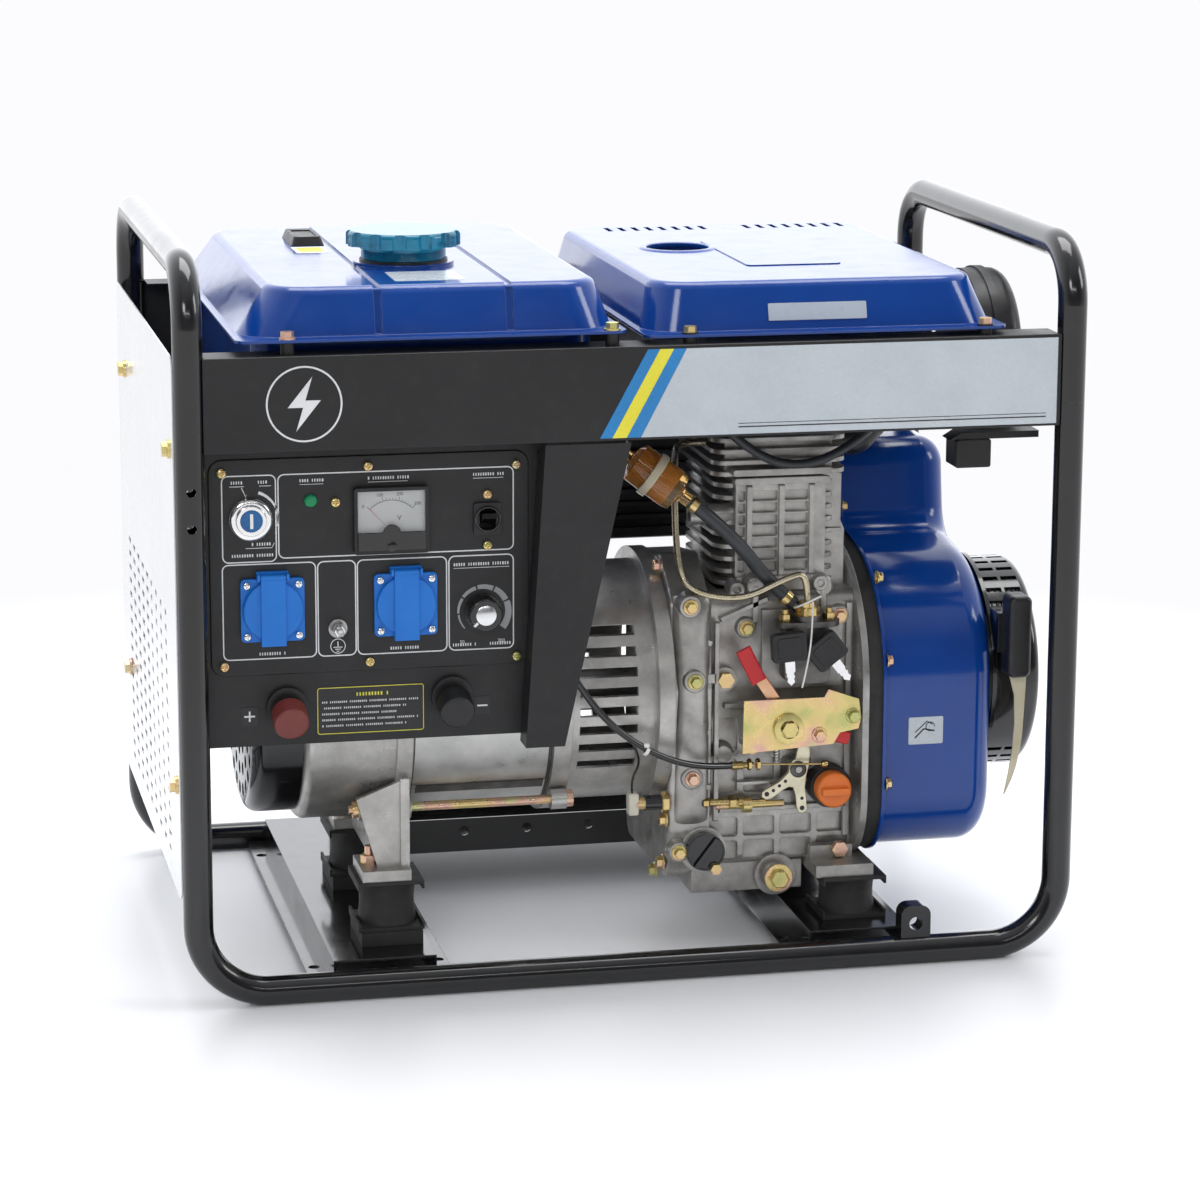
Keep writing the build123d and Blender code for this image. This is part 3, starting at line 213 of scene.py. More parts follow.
gloss_black = paint("gloss_black_powder", (0.0035, 0.0035, 0.004), (0.006, 0.006, 0.007), (0.12, 0.22), 0.4,
    0.05, dust=0.012)
satin_black = paint("satin_black_powder", (0.007, 0.007, 0.008), (0.012, 0.012, 0.013), (0.38, 0.5), 0.0,
    0.4, dust=0.02)
deep_blue = paint("deep_blue_gloss", (0.002, 0.042, 0.255), (0.003, 0.055, 0.300), (0.10, 0.18), 0.2, 0.10,
    round_edges=0.0012)
bare_casting = casting("bare_casting", (0.30, 0.29, 0.275), (0.40, 0.39, 0.37), (0.52, 0.505, 0.48),
    (0.26, 0.44), stain=0.22, round_edges=0.001)
pale_casting = casting("pale_casting", (0.36, 0.35, 0.33), (0.46, 0.45, 0.43), (0.58, 0.565, 0.54),
    (0.26, 0.42), stain=0.16, round_edges=0.001)
machined = metal("machined_steel", (0.42, 0.42, 0.42), (0.56, 0.56, 0.55), (0.25, 0.4))
dark_steel = metal("dark_steel", (0.10, 0.10, 0.10), (0.18, 0.17, 0.16), (0.35, 0.5))
chrome = metal("bright_chrome", (0.82, 0.82, 0.82), (0.90, 0.90, 0.91), (0.04, 0.1), 0.02)
brass = metal("brass_fitting", (0.55, 0.40, 0.16), (0.70, 0.54, 0.25), (0.2, 0.35))
copper = metal("copper_lever", (0.60, 0.34, 0.20), (0.76, 0.48, 0.30), (0.25, 0.4))
zinc_yellow = chromate("yellow_zinc_plate")
galvanised_sheet = galvanised("galvanised_sheet")
black_plastic = moulding("black_moulding", (0.007, 0.007, 0.008), (0.013, 0.013, 0.014), (0.32, 0.48))
shiny_plastic = moulding("shiny_black_moulding", (0.004, 0.004, 0.0045), (0.008, 0.008, 0.009), (0.1, 0.2),
    0.04, 0.5)
blue_plastic = moulding("socket_blue", (0.002, 0.150, 0.58), (0.004, 0.180, 0.64), (0.36, 0.48), 0.14,
    scatter=0.04)
key_blue = moulding("key_blue", (0.010, 0.10, 0.30), (0.014, 0.13, 0.36), (0.25, 0.35))
terminal_red = moulding("terminal_red", (0.135, 0.022, 0.018), (0.175, 0.032, 0.026), (0.36, 0.5),
    scatter=0.03)
sleeve_red = moulding("sleeve_red", (0.50, 0.012, 0.016), (0.62, 0.02, 0.025), (0.3, 0.42), scatter=0.05)
orange_plastic = moulding("oil_cap_orange", (0.72, 0.16, 0.018), (0.80, 0.20, 0.03), (0.3, 0.42),
    scatter=0.05)
cream_plastic = moulding("cream_part", (0.60, 0.57, 0.47), (0.70, 0.67, 0.57), (0.4, 0.5), scatter=0.05)
white_print = moulding("white_print", (0.72, 0.73, 0.74), (0.80, 0.81, 0.82), (0.45, 0.55))
grey_print = moulding("grey_print", (0.30, 0.31, 0.32), (0.36, 0.37, 0.38), (0.45, 0.55))
yellow_print = moulding("yellow_print", (0.70, 0.66, 0.06), (0.76, 0.72, 0.08), (0.3, 0.4))
dark_print = moulding("dark_print", (0.012, 0.012, 0.013), (0.018, 0.018, 0.02), (0.35, 0.45))
silver_film = moulding("silver_film", (0.50, 0.55, 0.60), (0.55, 0.60, 0.645), (0.22, 0.32), 0.03, 0.3)
blue_film = moulding("blue_film", (0.004, 0.20, 0.52), (0.006, 0.23, 0.57), (0.22, 0.32), 0.03, 0.3)
yellow_film = moulding("yellow_film", (0.82, 0.74, 0.035), (0.88, 0.80, 0.05), (0.22, 0.32), 0.03, 0.3)
rubber = moulding("black_rubber", (0.014, 0.014, 0.014), (0.026, 0.025, 0.024), (0.55, 0.75), 0.25)
hose_rubber = moulding("hose_rubber", (0.020, 0.022, 0.025), (0.032, 0.035, 0.040), (0.34, 0.5), 0.15)
green_lens = clear_part("green_lens", (0.0, 0.30, 0.10), (0.0, 0.42, 0.16), 0.12, 0.35)
meter_glass = clear_part("meter_glass", (0.96, 0.97, 0.98), (1.0, 1.0, 1.0), 0.02, 1.0)
teal_clear = clear_part("teal_translucent", (0.005, 0.22, 0.36), (0.012, 0.32, 0.48), 0.08, 0.5)
amber_clear = clear_part("amber_translucent", (0.80, 0.50, 0.17), (0.88, 0.60, 0.24), 0.10, 0.9)
pipe_steel = metal("pipe_steel", (0.50, 0.44, 0.31), (0.56, 0.50, 0.36), (0.24, 0.32), 0.03)
filter_paper = moulding("filter_paper", (0.80, 0.40, 0.06), (0.92, 0.52, 0.10), (0.6, 0.8), 0.3)
white_nylon = moulding("white_nylon", (0.74, 0.74, 0.70), (0.82, 0.82, 0.79), (0.3, 0.42), scatter=0.1)
cream_clear = clear_part("cream_translucent", (0.70, 0.64, 0.46), (0.80, 0.74, 0.56), 0.2, 0.3)
white_gloss = paint("white_gloss_paint", (0.74, 0.76, 0.79), (0.80, 0.82, 0.85), (0.12, 0.22), 0.5, 0.05,
    dust=0.05)
meter_white = moulding("meter_white", (0.80, 0.81, 0.80), (0.86, 0.87, 0.86), (0.45, 0.55), 0.05)
bright_cap = metal("bright_cap", (0.72, 0.73, 0.74), (0.80, 0.81, 0.82), (0.16, 0.26), 0.04)
cream_zinc = metal("cream_zinc", (0.62, 0.58, 0.42), (0.76, 0.72, 0.55), (0.3, 0.42))
needle_red = moulding("needle_red", (0.50, 0.02, 0.02), (0.60, 0.03, 0.03), (0.35, 0.45))
label_blue = moulding("pale_label", (0.42, 0.48, 0.55), (0.48, 0.54, 0.61), (0.25, 0.35), 0.03, 0.3)

finishes = {gloss_black: ["front_hoop", "rear_hoop", "left_handle", "right_handle", "base_members",
    "tie_down_lug", "alternator_end_cover", "starter_motor"], white_gloss: ["left_side_panel"],
    needle_red: ["voltmeter_needle"], satin_black: ["fascia_beams", "panel_gusset", "control_panel",
    "control_box", "muffler"], deep_blue: ["fuel_tank", "muffler_cover", "blower_housing"],
    bare_casting: ["crankcase", "cylinder_block", "cylinder_head"],
    pale_casting: ["alternator_end_bracket", "alternator_front_bracket"], galvanised_sheet: ["stator"],
    machined: ["crankshaft", "flywheel_fan", "earth_stud", "earth_nut"], dark_steel: ["injection_pump"],
    zinc_yellow: ["control_plate", "fasteners", "engine_fittings", "high_pressure_pipe"],
    copper: ["speed_lever"], cream_plastic: ["governor_lever"], chrome: ["key_ring"],
    black_plastic: ["voltmeter", "breaker", "fuel_gauge", "air_cleaner", "terminal_bases",
    "negative_terminal_knob", "recoil_handle"], shiny_plastic: ["recoil_housing", "current_knob",
    "breaker_toggle", "recoil_pulley"], blue_plastic: ["sockets", "left_socket_flap", "right_socket_flap"],
    key_blue: ["key_barrel"], terminal_red: ["positive_terminal_knob"], orange_plastic: ["oil_cap"],
    rubber: ["rubber_mounts"], hose_rubber: ["fuel_hoses", "throttle_cable"], green_lens: ["pilot_lamp"],
    meter_glass: ["voltmeter_window"], teal_clear: ["fuel_cap"], amber_clear: ["fuel_filter"],}
for finish, names in finishes.items():
    for name in names:
        slots = nodes[name].data.materials
        slots.clear()
        slots.append(finish)

# ---- Shape helpers: millimetres in, metres out -----------------------------------------------
def attach(name, mesh, finish, body):
    """Makes an object of a mesh, and rides it on a CAD body with one finish."""
    mesh.materials.clear()
    mesh.materials.append(finish)
    obj = bpy.data.objects.new(name, mesh)
    bpy.context.scene.collection.objects.link(obj)
    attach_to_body(obj, body)
    return obj


def baked(maker):
    """The mesh that a curve or text object makes; the object itself is removed."""
    bpy.context.scene.collection.objects.link(maker)
    bpy.context.view_layer.update()
    mesh = bpy.data.meshes.new_from_object(maker.evaluated_get(bpy.context.evaluated_depsgraph_get()))
    bpy.data.objects.remove(maker)
    return mesh


def new_piece(name, bm, finish, body="frame", sharp=35.0):
    """Turns a bmesh in millimetres into a piece that rides on a CAD body."""
    bmesh.ops.remove_doubles(bm, verts=bm.verts, dist=0.001)
    bmesh.ops.recalc_face_normals(bm, faces=bm.faces)
    mesh = bpy.data.meshes.new(name)
    bm.to_mesh(mesh)
    bm.free()
    mesh.transform(Matrix.Scale(MM, 4))
    for polygon in mesh.polygons:
        polygon.use_smooth = True
    mesh.set_sharp_from_angle(angle=math.radians(sharp))
    return attach(name, mesh, finish, body)


def turned(bm, profile, place, axis, segments=40, cut=None):
    """Lathe profile of (radius, height) round an axis; cut(u, v) lowers the surface, as for a recess."""
    turn = Vector((0, 0, 1)).rotation_difference(Vector(axis)).to_matrix()
    rings = []
    for radius, height in profile:
        if radius < 1e-6:
            low = cut(0.0, 0.0) if cut else 0.0
            rings.append([bm.verts.new(Vector(place) + turn @ Vector((0, 0, height - low)))])
            continue
        ring = []
        for i in range(segments):
            a = 2 * math.pi * i / segments
            u, v = radius * math.cos(a), radius * math.sin(a)
            low = cut(u, v) if cut else 0.0
            ring.append(bm.verts.new(Vector(place) + turn @ Vector((u, v, height - low))))
        rings.append(ring)
    for a, b in zip(rings, rings[1:]):
        for i in range(segments):
            j = (i + 1) % segments
            if len(a) == 1 and len(b) > 1:
                bm.faces.new((a[0], b[i], b[j]))
            elif len(b) == 1 and len(a) > 1:
                bm.faces.new((a[i], b[0], a[j]))
            elif len(a) > 1 and len(b) > 1:
                bm.faces.new((a[i], b[i], b[j], a[j]))


def hex_bolt(bm, place, axis, across, height, washer=0.0, stud=0.0):
    """Chamfered hex head, on a washer face if one is given, with a stud end if it is a nut."""
    turn = Vector((0, 0, 1)).rotation_difference(Vector(axis)).to_matrix()
    base = Vector(place)
    lift = 0.0
    if washer > 0:
        turned(bm, [(washer, 0), (washer, 1.2), (washer - 0.5, 1.7), (across * 0.4, 1.8)], place, axis, 32)
        lift = 1.7
    corner = across / 2 / math.cos(math.pi / 6)
    levels = [(corner, lift), (corner, lift + height - 1.0), (corner * 0.88, lift + height),
        (0.0, lift + height)]
    rings = []
    for radius, up in levels:
        if radius == 0.0:
            rings.append([bm.verts.new(base + turn @ Vector((0, 0, up)))])
        else:
            rings.append([bm.verts.new(base + turn @ Vector((radius * math.cos(math.pi * i / 3),
                radius * math.sin(math.pi * i / 3), up))) for i in range(6)])
    for a, b in zip(rings, rings[1:]):
        for i in range(6):
            j = (i + 1) % 6
            if len(b) == 1:
                bm.faces.new((a[i], a[j], b[0]))
            else:
                bm.faces.new((a[i], a[j], b[j], b[i]))
    if stud > 0:
        top = lift + height
        turned(bm, [(across * 0.27, top - 0.5), (across * 0.27, top + stud - 0.8),
            (across * 0.2, top + stud), (0, top + stud)], place, axis, 20)


def slab(bm, outline, y_back, y_front, edge=0.0):
    """Plate with a front-facing outline of (x, z), with a chamfered front edge."""
    middle = sum((Vector(p) for p in outline), Vector((0, 0))) / len(outline)
    step = -edge if y_front < y_back else edge

    def ring(y, inset):
        made = []
        for x, z in outline:
            away = Vector((x, z)) - middle
            shrunk = middle + away * (1 - inset / max(away.length, 1e-6))
            made.append(bm.verts.new((shrunk.x, y, shrunk.y)))
        return made
    rings = [ring(y_back, 0.0), ring(y_front - step, 0.0)]
    if edge > 0:
        rings.append(ring(y_front, edge))
    count = len(outline)
    for a, b in zip(rings, rings[1:]):
        for i in range(count):
            j = (i + 1) % count
            bm.faces.new((a[i], a[j], b[j], b[i]))
    bm.faces.new(rings[-1])
    bm.faces.new(list(reversed(rings[0])))


def rounded(x0, x1, z0, z1, radius, steps=5):
    """Rounded rectangle outline, counter-clockwise."""
    points = []
    for cx, cz, start in ((x1 - radius, z0 + radius, -90), (x1 - radius, z1 - radius, 0),
            (x0 + radius, z1 - radius, 90), (x0 + radius, z0 + radius, 180)):
        for i in range(steps + 1):
            a = math.radians(start + 90 * i / steps)
            points.append((cx + radius * math.cos(a), cz + radius * math.sin(a)))
    return points


def arc(cx, cz, radius, start, end, steps=16):
    return [(cx + radius * math.cos(math.radians(start + (end - start) * i / steps)),
        cz + radius * math.sin(math.radians(start + (end - start) * i / steps))) for i in range(steps + 1)]


def stroke(bm, path, width, y_back, thick=0.15, closed=False):
    """Printed line that follows (x, z) points; width is a number, or one number for each point."""
    count = len(path)
    widths = [width] * count if isinstance(width, (int, float)) else width
    sides = []
    for i, (x, z) in enumerate(path):
        before = path[(i - 1) % count] if closed or i > 0 else path[i]
        after = path[(i + 1) % count] if closed or i < count - 1 else path[i]
        along = Vector((after[0] - before[0], after[1] - before[1])).normalized()
        across = Vector((-along.y, along.x)) * widths[i] / 2
        sides.append([bm.verts.new((x + s * across.x, y, z + s * across.y)) for s in (1,
            -1) for y in (y_back, y_back - thick)])
    for i in range(count if closed else count - 1):
        a, b = sides[i], sides[(i + 1) % count]
        bm.faces.new((a[1], b[1], b[3], a[3]))
        bm.faces.new((a[0], b[0], b[1], a[1]))
        bm.faces.new((a[2], b[2], b[3], a[3]))
        bm.faces.new((a[0], b[0], b[2], a[2]))


def bars(bm, x, z, width, height, y_back, pitch=2.1, seed=3):
    """A row of small upright marks where the machine has small lettering."""
    place, k = x, seed
    while place < x + width:
        k = (k * 7 + 5) % 11
        wide = pitch * (0.45 + 0.04 * (k % 5))
        if k != 4:
            slab(bm, [(place, z), (place + wide, z), (place + wide, z + height), (place, z + height)],
                y_back, y_back - 0.12)
        place += pitch


def tube_piece(name, points, radius, finish, body="frame", closed=False, order=3):
    """Round tube whose centreline is a smooth spline with these control points."""
    curve = bpy.data.curves.new(name, "CURVE")
    curve.dimensions = "3D"
    curve.bevel_depth = radius * MM
    curve.bevel_resolution = 5
    curve.use_fill_caps = True
    curve.resolution_u = 10
    spline = curve.splines.new("NURBS")
    spline.points.add(len(points) - 1)
    for point, (x, y, z) in zip(spline.points, points):
        point.co = (x * MM, y * MM, z * MM, 1.0)
    spline.order_u = order
    spline.use_endpoint_u = not closed
    spline.use_cyclic_u = closed
    mesh = baked(bpy.data.objects.new(name + "_maker", curve))
    for polygon in mesh.polygons:
        polygon.use_smooth = True
    return attach(name, mesh, finish, body)


def number(name, text, size, x, z, y, finish):
    """A dial number facing the front, centred on (x, z)."""
    font = bpy.data.curves.new(name, "FONT")
    font.body = text
    font.size = size * MM
    font.align_x = "CENTER"
    font.align_y = "CENTER"
    font.extrude = 0.00006
    mesh = baked(bpy.data.objects.new(name + "_maker", font))
    mesh.transform(Matrix.Translation((x * MM, y * MM, z * MM)) @ Matrix.Rotation(math.radians(90), 4, "X"))
    return attach(name, mesh, finish, "frame")


def tint(node, finish, test):
    """Gives another finish to the faces of a CAD node whose centre, in millimetres, passes the test."""
    mesh = nodes[node].data
    mesh.materials.append(finish)
    index = len(mesh.materials) - 1
    for polygon in mesh.polygons:
        centre = polygon.center / MM
        if test(centre.x, centre.y, centre.z):
            polygon.material_index = index


tint("blower_housing", bare_casting, lambda x, y, z: x < 225.15)
tint("blower_housing", rubber, lambda x, y, z: 225.15 <= x < 238.95)
tint("speed_lever", sleeve_red, lambda x, y, z: z > 245 or x > 189.5)
tint("engine_fittings", shiny_plastic, lambda x, y, z: abs(x - 81) < 17.5 and 75 < z < 110 and y > -176.2)
tint("engine_fittings", shiny_plastic, lambda x, y, z: 27.9 < x < 44.1)
tint("throttle_cable", brass, lambda x, y, z: 105 < x < 126)
tint("throttle_cable", machined, lambda x, y, z: x >= 126)
tint("injection_pump", brass, lambda x, y, z: z > 305.9)
tint("injection_pump", brass, lambda x, y, z: z > 301.1 and abs(x - 171) > 13)
tint("crankcase", satin_black, lambda x, y, z: y < -158.2 and math.dist((x, z), (196, 146)) < 19.4)
tint("control_plate", machined, lambda x, y, z: y > -189.9)
tint("fasteners", satin_black, lambda x, y, z: 560.1 < z < 569.9)
tint("fasteners", chrome, lambda x, y, z: -228.2 < y < -225.9 and z < 380 and z > 300)

# ---- Fascia decals ---------------------------------------------------------------------------
band_y = -250.05
for name, left, right, finish in (("fascia_stripe_blue_left", (8.7, -32.4), (19.4, -21.7), blue_film),
        ("fascia_stripe_yellow", (19.4, -21.7), (31.4, -9.3), yellow_film),
        ("fascia_stripe_blue_right", (31.4, -9.3), (42.4, 3.1), blue_film),
        ("fascia_silver_decal", (42.4, 3.1), (371.5, 371.5), silver_film)):
    bm = bmesh.new()
    slab(bm, [(left[1], 482.3), (right[1], 482.3), (right[0], 557.2), (left[0], 557.2)], band_y, band_y - 0.3)
    new_piece(name, bm, finish)
bm = bmesh.new()
stroke(bm, arc(-283, 520, 31.2, 0, 355, 72), 1.6, band_y, 0.2, closed=True)
slab(bm, [(-276, 543), (-297, 517), (-284, 517), (-290, 497), (-269, 523), (-282, 523)], band_y, band_y - 0.2)
new_piece("fascia_emblem", bm, white_print)
bm = bmesh.new()
stroke(bm, [(88, 488.5), (362, 488.5)], 1.0, band_y - 0.3, 0.15)
stroke(bm, [(88, 491.5), (362, 491.5)], 0.5, band_y - 0.3, 0.15)
new_piece("fascia_rule", bm, dark_print)

# ---- Control panel printing ------------------------------------------------------------------
print_y = -221.52
bm = bmesh.new()
for x0, x1, z0, z1 in ((-349.6, -304.3, 382.2, 456.0), (-302.2, -101.4, 384.6, 456.0),
        (-350.2, -271.4, 298.3, 380.2), (-269.6, -237.4, 298.3, 380.2), (-235.8, -159.2, 298.3, 380.2),
        (-157.2, -101.4, 298.3, 380.2)):
    stroke(bm, rounded(x0, x1, z0, z1, 5.0), 1.1, print_y, closed=True)
# Start switch marks: an arc of three positions and its leader lines
stroke(bm, arc(-326, 419, 23.5, -20, 72), [0.6 + 0.13 * i for i in range(17)], print_y)
stroke(bm, [(-333, 446), (-329, 437), (-329, 440)], 0.7, print_y)
stroke(bm, [(-343, 447), (-331, 447)], 0.6, print_y)
stroke(bm, [(-318, 447), (-308, 447)], 0.6, print_y)
stroke(bm, [(-330, 394), (-308, 394), (-306, 398)], 0.6, print_y)
# Underlines and lettering-sized marks
for x, z, width in ((-344, 449, 11), (-319, 449, 8), (-325, 396, 16), (-344, 386.5, 37), (-284, 449, 20),
        (-226, 449, 34), (-136, 449, 26), (-153, 371.5, 48), (-154, 301.5, 20), (-124, 301.5, 22),
        (-322, 301.2, 24), (-208, 301.2, 24)):
    bars(bm, x, z, width, 2.6, print_y, seed=int(abs(x)))
for x, z, width in ((-284, 447, 20), (-226, 447, 34), (-136, 447, 26), (-153, 369.6, 48)):
    stroke(bm, [(x, z), (x + width, z)], 0.5, print_y)
# Earth symbol below the stud
stroke(bm, arc(-253, 306.5, 6.2, 0, 350, 32), 0.7, print_y, closed=True)
stroke(bm, [(-253, 310.5), (-253, 305.5)], 0.8, print_y)
for half, z in ((3.8, 305.5), (2.5, 303.8), (1.2, 302.1)):
    stroke(bm, [(-253 - half, z), (-253 + half, z)], 0.7, print_y)
new_piece("panel_lines", bm, white_print)
# Current dial: tapered arc segments, thicker clockwise
bm = bmesh.new()
for i, (start, end) in enumerate(((222, 186), (182, 146), (142, 106), (102, 66), (62, 26), (22, -40))):
    stroke(bm, arc(-128, 331, 21.0 + 0.25 * i, start, end, 12),
        [1.0 + 0.9 * i + 0.06 * k for k in range(13)], print_y)
new_piece("current_dial_scale", bm, grey_print)
number("current_low", "50", 4.2, -146, 305, print_y - 0.1, white_print)
number("current_high", "200", 4.2, -112, 305, print_y - 0.1, white_print)

# Notice plate under the sockets, and the two polarity tags
low_y = -220.02
bm = bmesh.new()
slab(bm, rounded(-272, -178.5, 228.5, 271, 2.5), low_y, low_y - 0.3)
for x in (-336.5, -136):
    slab(bm, rounded(x, x + 15, 240, 256.5, 1.0), low_y, low_y - 0.3)
new_piece("notice_plates", bm, dark_print)
bm = bmesh.new()
stroke(bm, rounded(-270.8, -179.7, 229.7, 269.8, 2.0), 0.7, low_y - 0.3, 0.1, closed=True)
bars(bm, -240, 262, 30, 3.0, low_y - 0.3, 2.6)
new_piece("notice_border", bm, yellow_print)
bm = bmesh.new()
for row in range(5):
    bars(bm, -267, 256.5 - 5.2 * row, 82 - 9 * (row % 3), 1.7, low_y - 0.3, 1.7, seed=row + 2)
for x in (-329, -128.5):
    stroke(bm, [(x - 4.5, 248.2), (x + 4.5, 248.2)], 1.5, low_y - 0.3, 0.1)
stroke(bm, [(-329, 243.7), (-329, 252.7)], 1.5, low_y - 0.31, 0.1)
new_piece("notice_marks", bm, white_print)

# Phillips screws over the CAD heads
def cross_cut(size):
    def low(u, v):
        near = min(abs(u), abs(v))
        far = max(abs(u), abs(v))
        return size * 0.3 if near < size * 0.13 and far < size * 0.62 else 0.0
    return low


def pan_screw(bm, x, y, z, radius):
    rings = [(radius, 0.0), (radius, 0.25)]
    rings += [(radius * (1 - k / 14),
        0.25 + radius * 0.36 * math.sqrt(1 - (1 - k / 14) ** 2)) for k in range(1, 14)]
    rings.append((0.0, 0.25 + radius * 0.36))
    turned(bm, rings, (x, y, z), (0, -1, 0), 32, cross_cut(radius))


panel_screws = [(-350, 459), (-226, 461), (-99, 458), (-350, 293), (-226, 292), (-99, 291), (-254, 431),
    (-124, 433), (-124, 389)]
bm = bmesh.new()
for x, z in panel_screws:
    pan_screw(bm, x, -224.45, z, 3.9)
new_piece("panel_screws", bm, zinc_yellow)
bm = bmesh.new()
for cx, cz in ((-308.6, 341), (-195, 341)):
    for dx in (-22, 22):
        for dz in (-22, 22):
            pan_screw(bm, cx + dx, -227.95, cz + dz, 3.1)
new_piece("socket_screws", bm, chrome)

# Meter face, its scale, the cover over the pivot, and the key slot
bm = bmesh.new()
slab(bm, [(-236, 404), (-178, 404), (-178, 440), (-236, 440)], -223.95, -224.3)
new_piece("meter_face", bm, meter_white)
bm = bmesh.new()
stroke(bm, arc(-207, 406, 25.5, 135, 45, 24), 0.45, -224.3, 0.08)
for i in range(16):
    a = 135 - 6 * i
    reach = 3.4 if i % 5 == 0 else 1.8
    stroke(bm, [arc(-207, 406, r, a, a, 1)[0] for r in (25.5, 25.5 + reach)], 0.4, -224.3, 0.08)
new_piece("meter_scale", bm, dark_print)
for text, a in (("0", 139), ("100", 108), ("200", 76), ("300", 44)):
    x, z = arc(-207, 406, 31.5, a, a, 1)[0]
    number("meter_" + text, text, 4.0, x, min(z, 437.3), -224.4, dark_print)
number("meter_unit", "V", 6.0, -200, 416, -224.4, dark_print)
bm = bmesh.new()
slab(bm, [(-236, 389), (-178, 389), (-178, 404.5)] + arc(-207, 404, 7.5, 4, 176, 14) + [(-236, 404.5)],
    -228.9, -230.2, 0.3)
new_piece("meter_cover", bm, shiny_plastic)
bm = bmesh.new()
turned(bm, [(4.2, 0), (4.2, 0.7), (3.6, 1.0), (0, 1.0)], (-207, -230.1, 392.5), (0, -1, 0), 32, lambda u,
    v: 0.4 if abs(v) < 0.5 and abs(u) < 3.5 else 0.0)
new_piece("meter_zero_screw", bm, shiny_plastic)

# Silver cap and pointer line on the current knob
bm = bmesh.new()
turned(bm, [(8.8, -0.2), (8.8, 0.7), (8.2, 1.1), (0, 1.2)], (-128, -237.9, 331), (0, -1, 0), 40)
slab(bm, [(-137.5, 321.0), (-139.2, 322.6), (-136.0, 325.6), (-134.4, 323.9)], -237.9, -238.4)
new_piece("current_knob_cap", bm, bright_cap, "current_knob")

bm = bmesh.new()
slab(bm, rounded(-327.4, -324.6, 412.5, 425.5, 0.6), -231.0, -231.9, 0.2)
new_piece("key_slot_plate", bm, bright_cap, "key_barrel")

# Second nut on the earth stud, with its stud end
bm = bmesh.new()
hex_bolt(bm, (-253, -231.6, 322), (0, -1, 0), 9.5, 3.4, 0, 5.0)
new_piece("earth_lock_nut", bm, chrome, "earth_nut")

# Ring round the breaker toggle
bm = bmesh.new()
turned(bm, [(11.4, 0), (11.4, 1.6), (10.8, 2.2), (9.8, 2.2), (9.4, 1.4), (9.4, 0)], (-124, -224.9, 412),
    (0, -1, 0), 40)
new_piece("breaker_ring", bm, shiny_plastic)

# ---- Engine: hoses, pipe, filter, levers, keys -----------------------------------------------
hose = tube_piece("fuel_hose", [(62, -184.5, 412), (77, -188, 401), (112, -184, 367), (132, -168.5, 341),
    (160, -172, 314.5)], 6.2, hose_rubber)
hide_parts("fuel_hoses")
tube_piece("return_hose", [(96, -166, 474), (124, -168, 448), (160, -172, 437), (200, -170, 446),
    (230, -160, 466)], 4.0, hose_rubber)
pipe = tube_piece("injector_pipe_bent", [(91.8, -118, 452), (66, -118, 453), (56, -150, 446),
    (56, -160, 352), (66, -170, 328), (112, -180.5, 321), (150, -182, 340), (171, -179, 344),
    (171, -179, 316)], 3.0, pipe_steel)
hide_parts("high_pressure_pipe")

filter_top = Vector((12, -172, 450))
filter_low = Vector((60, -184, 414))
along = (filter_low - filter_top).normalized()
bm = bmesh.new()
turned(bm, [(0, -12), (5.0, -12), (6.0, -9), (5.0, -6), (6.0, 0), (13.0, 1.5), (18.0, 5), (18.4, 24),
    (18.2, 46), (16.5, 51), (8.0, 53), (6.0, 55), (6.0, 64), (0, 64)], filter_top, along, 48)
bowl = new_piece("fuel_filter_bowl", bm, amber_clear)
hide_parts("fuel_filter")
bm = bmesh.new()
turn = Vector((0, 0, 1)).rotation_difference(along).to_matrix()
rings = []
for height in (5, 44):
    ring = []
    for i in range(96):
        radius = 16.2 if i % 2 else 14.0
        a = 2 * math.pi * i / 96
        ring.append(bm.verts.new(filter_top + turn @ Vector((radius * math.cos(a), radius * math.sin(a),
            height))))
    rings.append(ring)
for i in range(96):
    j = (i + 1) % 96
    bm.faces.new((rings[0][i], rings[0][j], rings[1][j], rings[1][i]))
bm.faces.new(rings[1])
bm.faces.new(list(reversed(rings[0])))
new_piece("fuel_filter_pleats", bm, filter_paper, sharp=10)
bm = bmesh.new()
turned(bm, [(18.3, 20), (20.6, 20.4), (20.9, 24), (20.6, 27.6), (18.3, 28)], filter_top, along, 56)
new_piece("fuel_filter_collar", bm, cream_clear)


bm = bmesh.new()
turned(bm, [(5.0, -4), (5.6, -2), (4.4, 0), (4.4, 13), (0, 13)], (159, -171.9, 315.4), (0.62, -0.5, -0.6), 24)
new_piece("pump_spigot", bm, dark_steel)


def clamp(name, centre, direction, radius):
    """Spring hose clamp with two ears."""
    bm = bmesh.new()
    turned(bm, [(radius, -3), (radius + 0.9, -3), (radius + 0.9, 3), (radius, 3), (radius, -3)], centre,
        direction, 32)
    turn = Vector((0, 0, 1)).rotation_difference(Vector(direction)).to_matrix()
    for side in (-1, 1):
        for shift in (-1.2, 1.2):
            ear = Vector(centre) + turn @ Vector((0, 0, shift))
            turned(bm, [(0.8, 0), (0.8, 4.5), (0, 4.8)], ear + Vector((side * 1.6, 0, 0)),
                Vector((side * 0.4, -1, 0.5)).normalized(), 10)
    return new_piece(name, bm, brass)


clamp("filter_clamp", filter_top + along * 69, along, 6.3)
clamp("pump_clamp", (153.5, -171.2, 320), (0.735, -0.105, -0.669), 6.3)

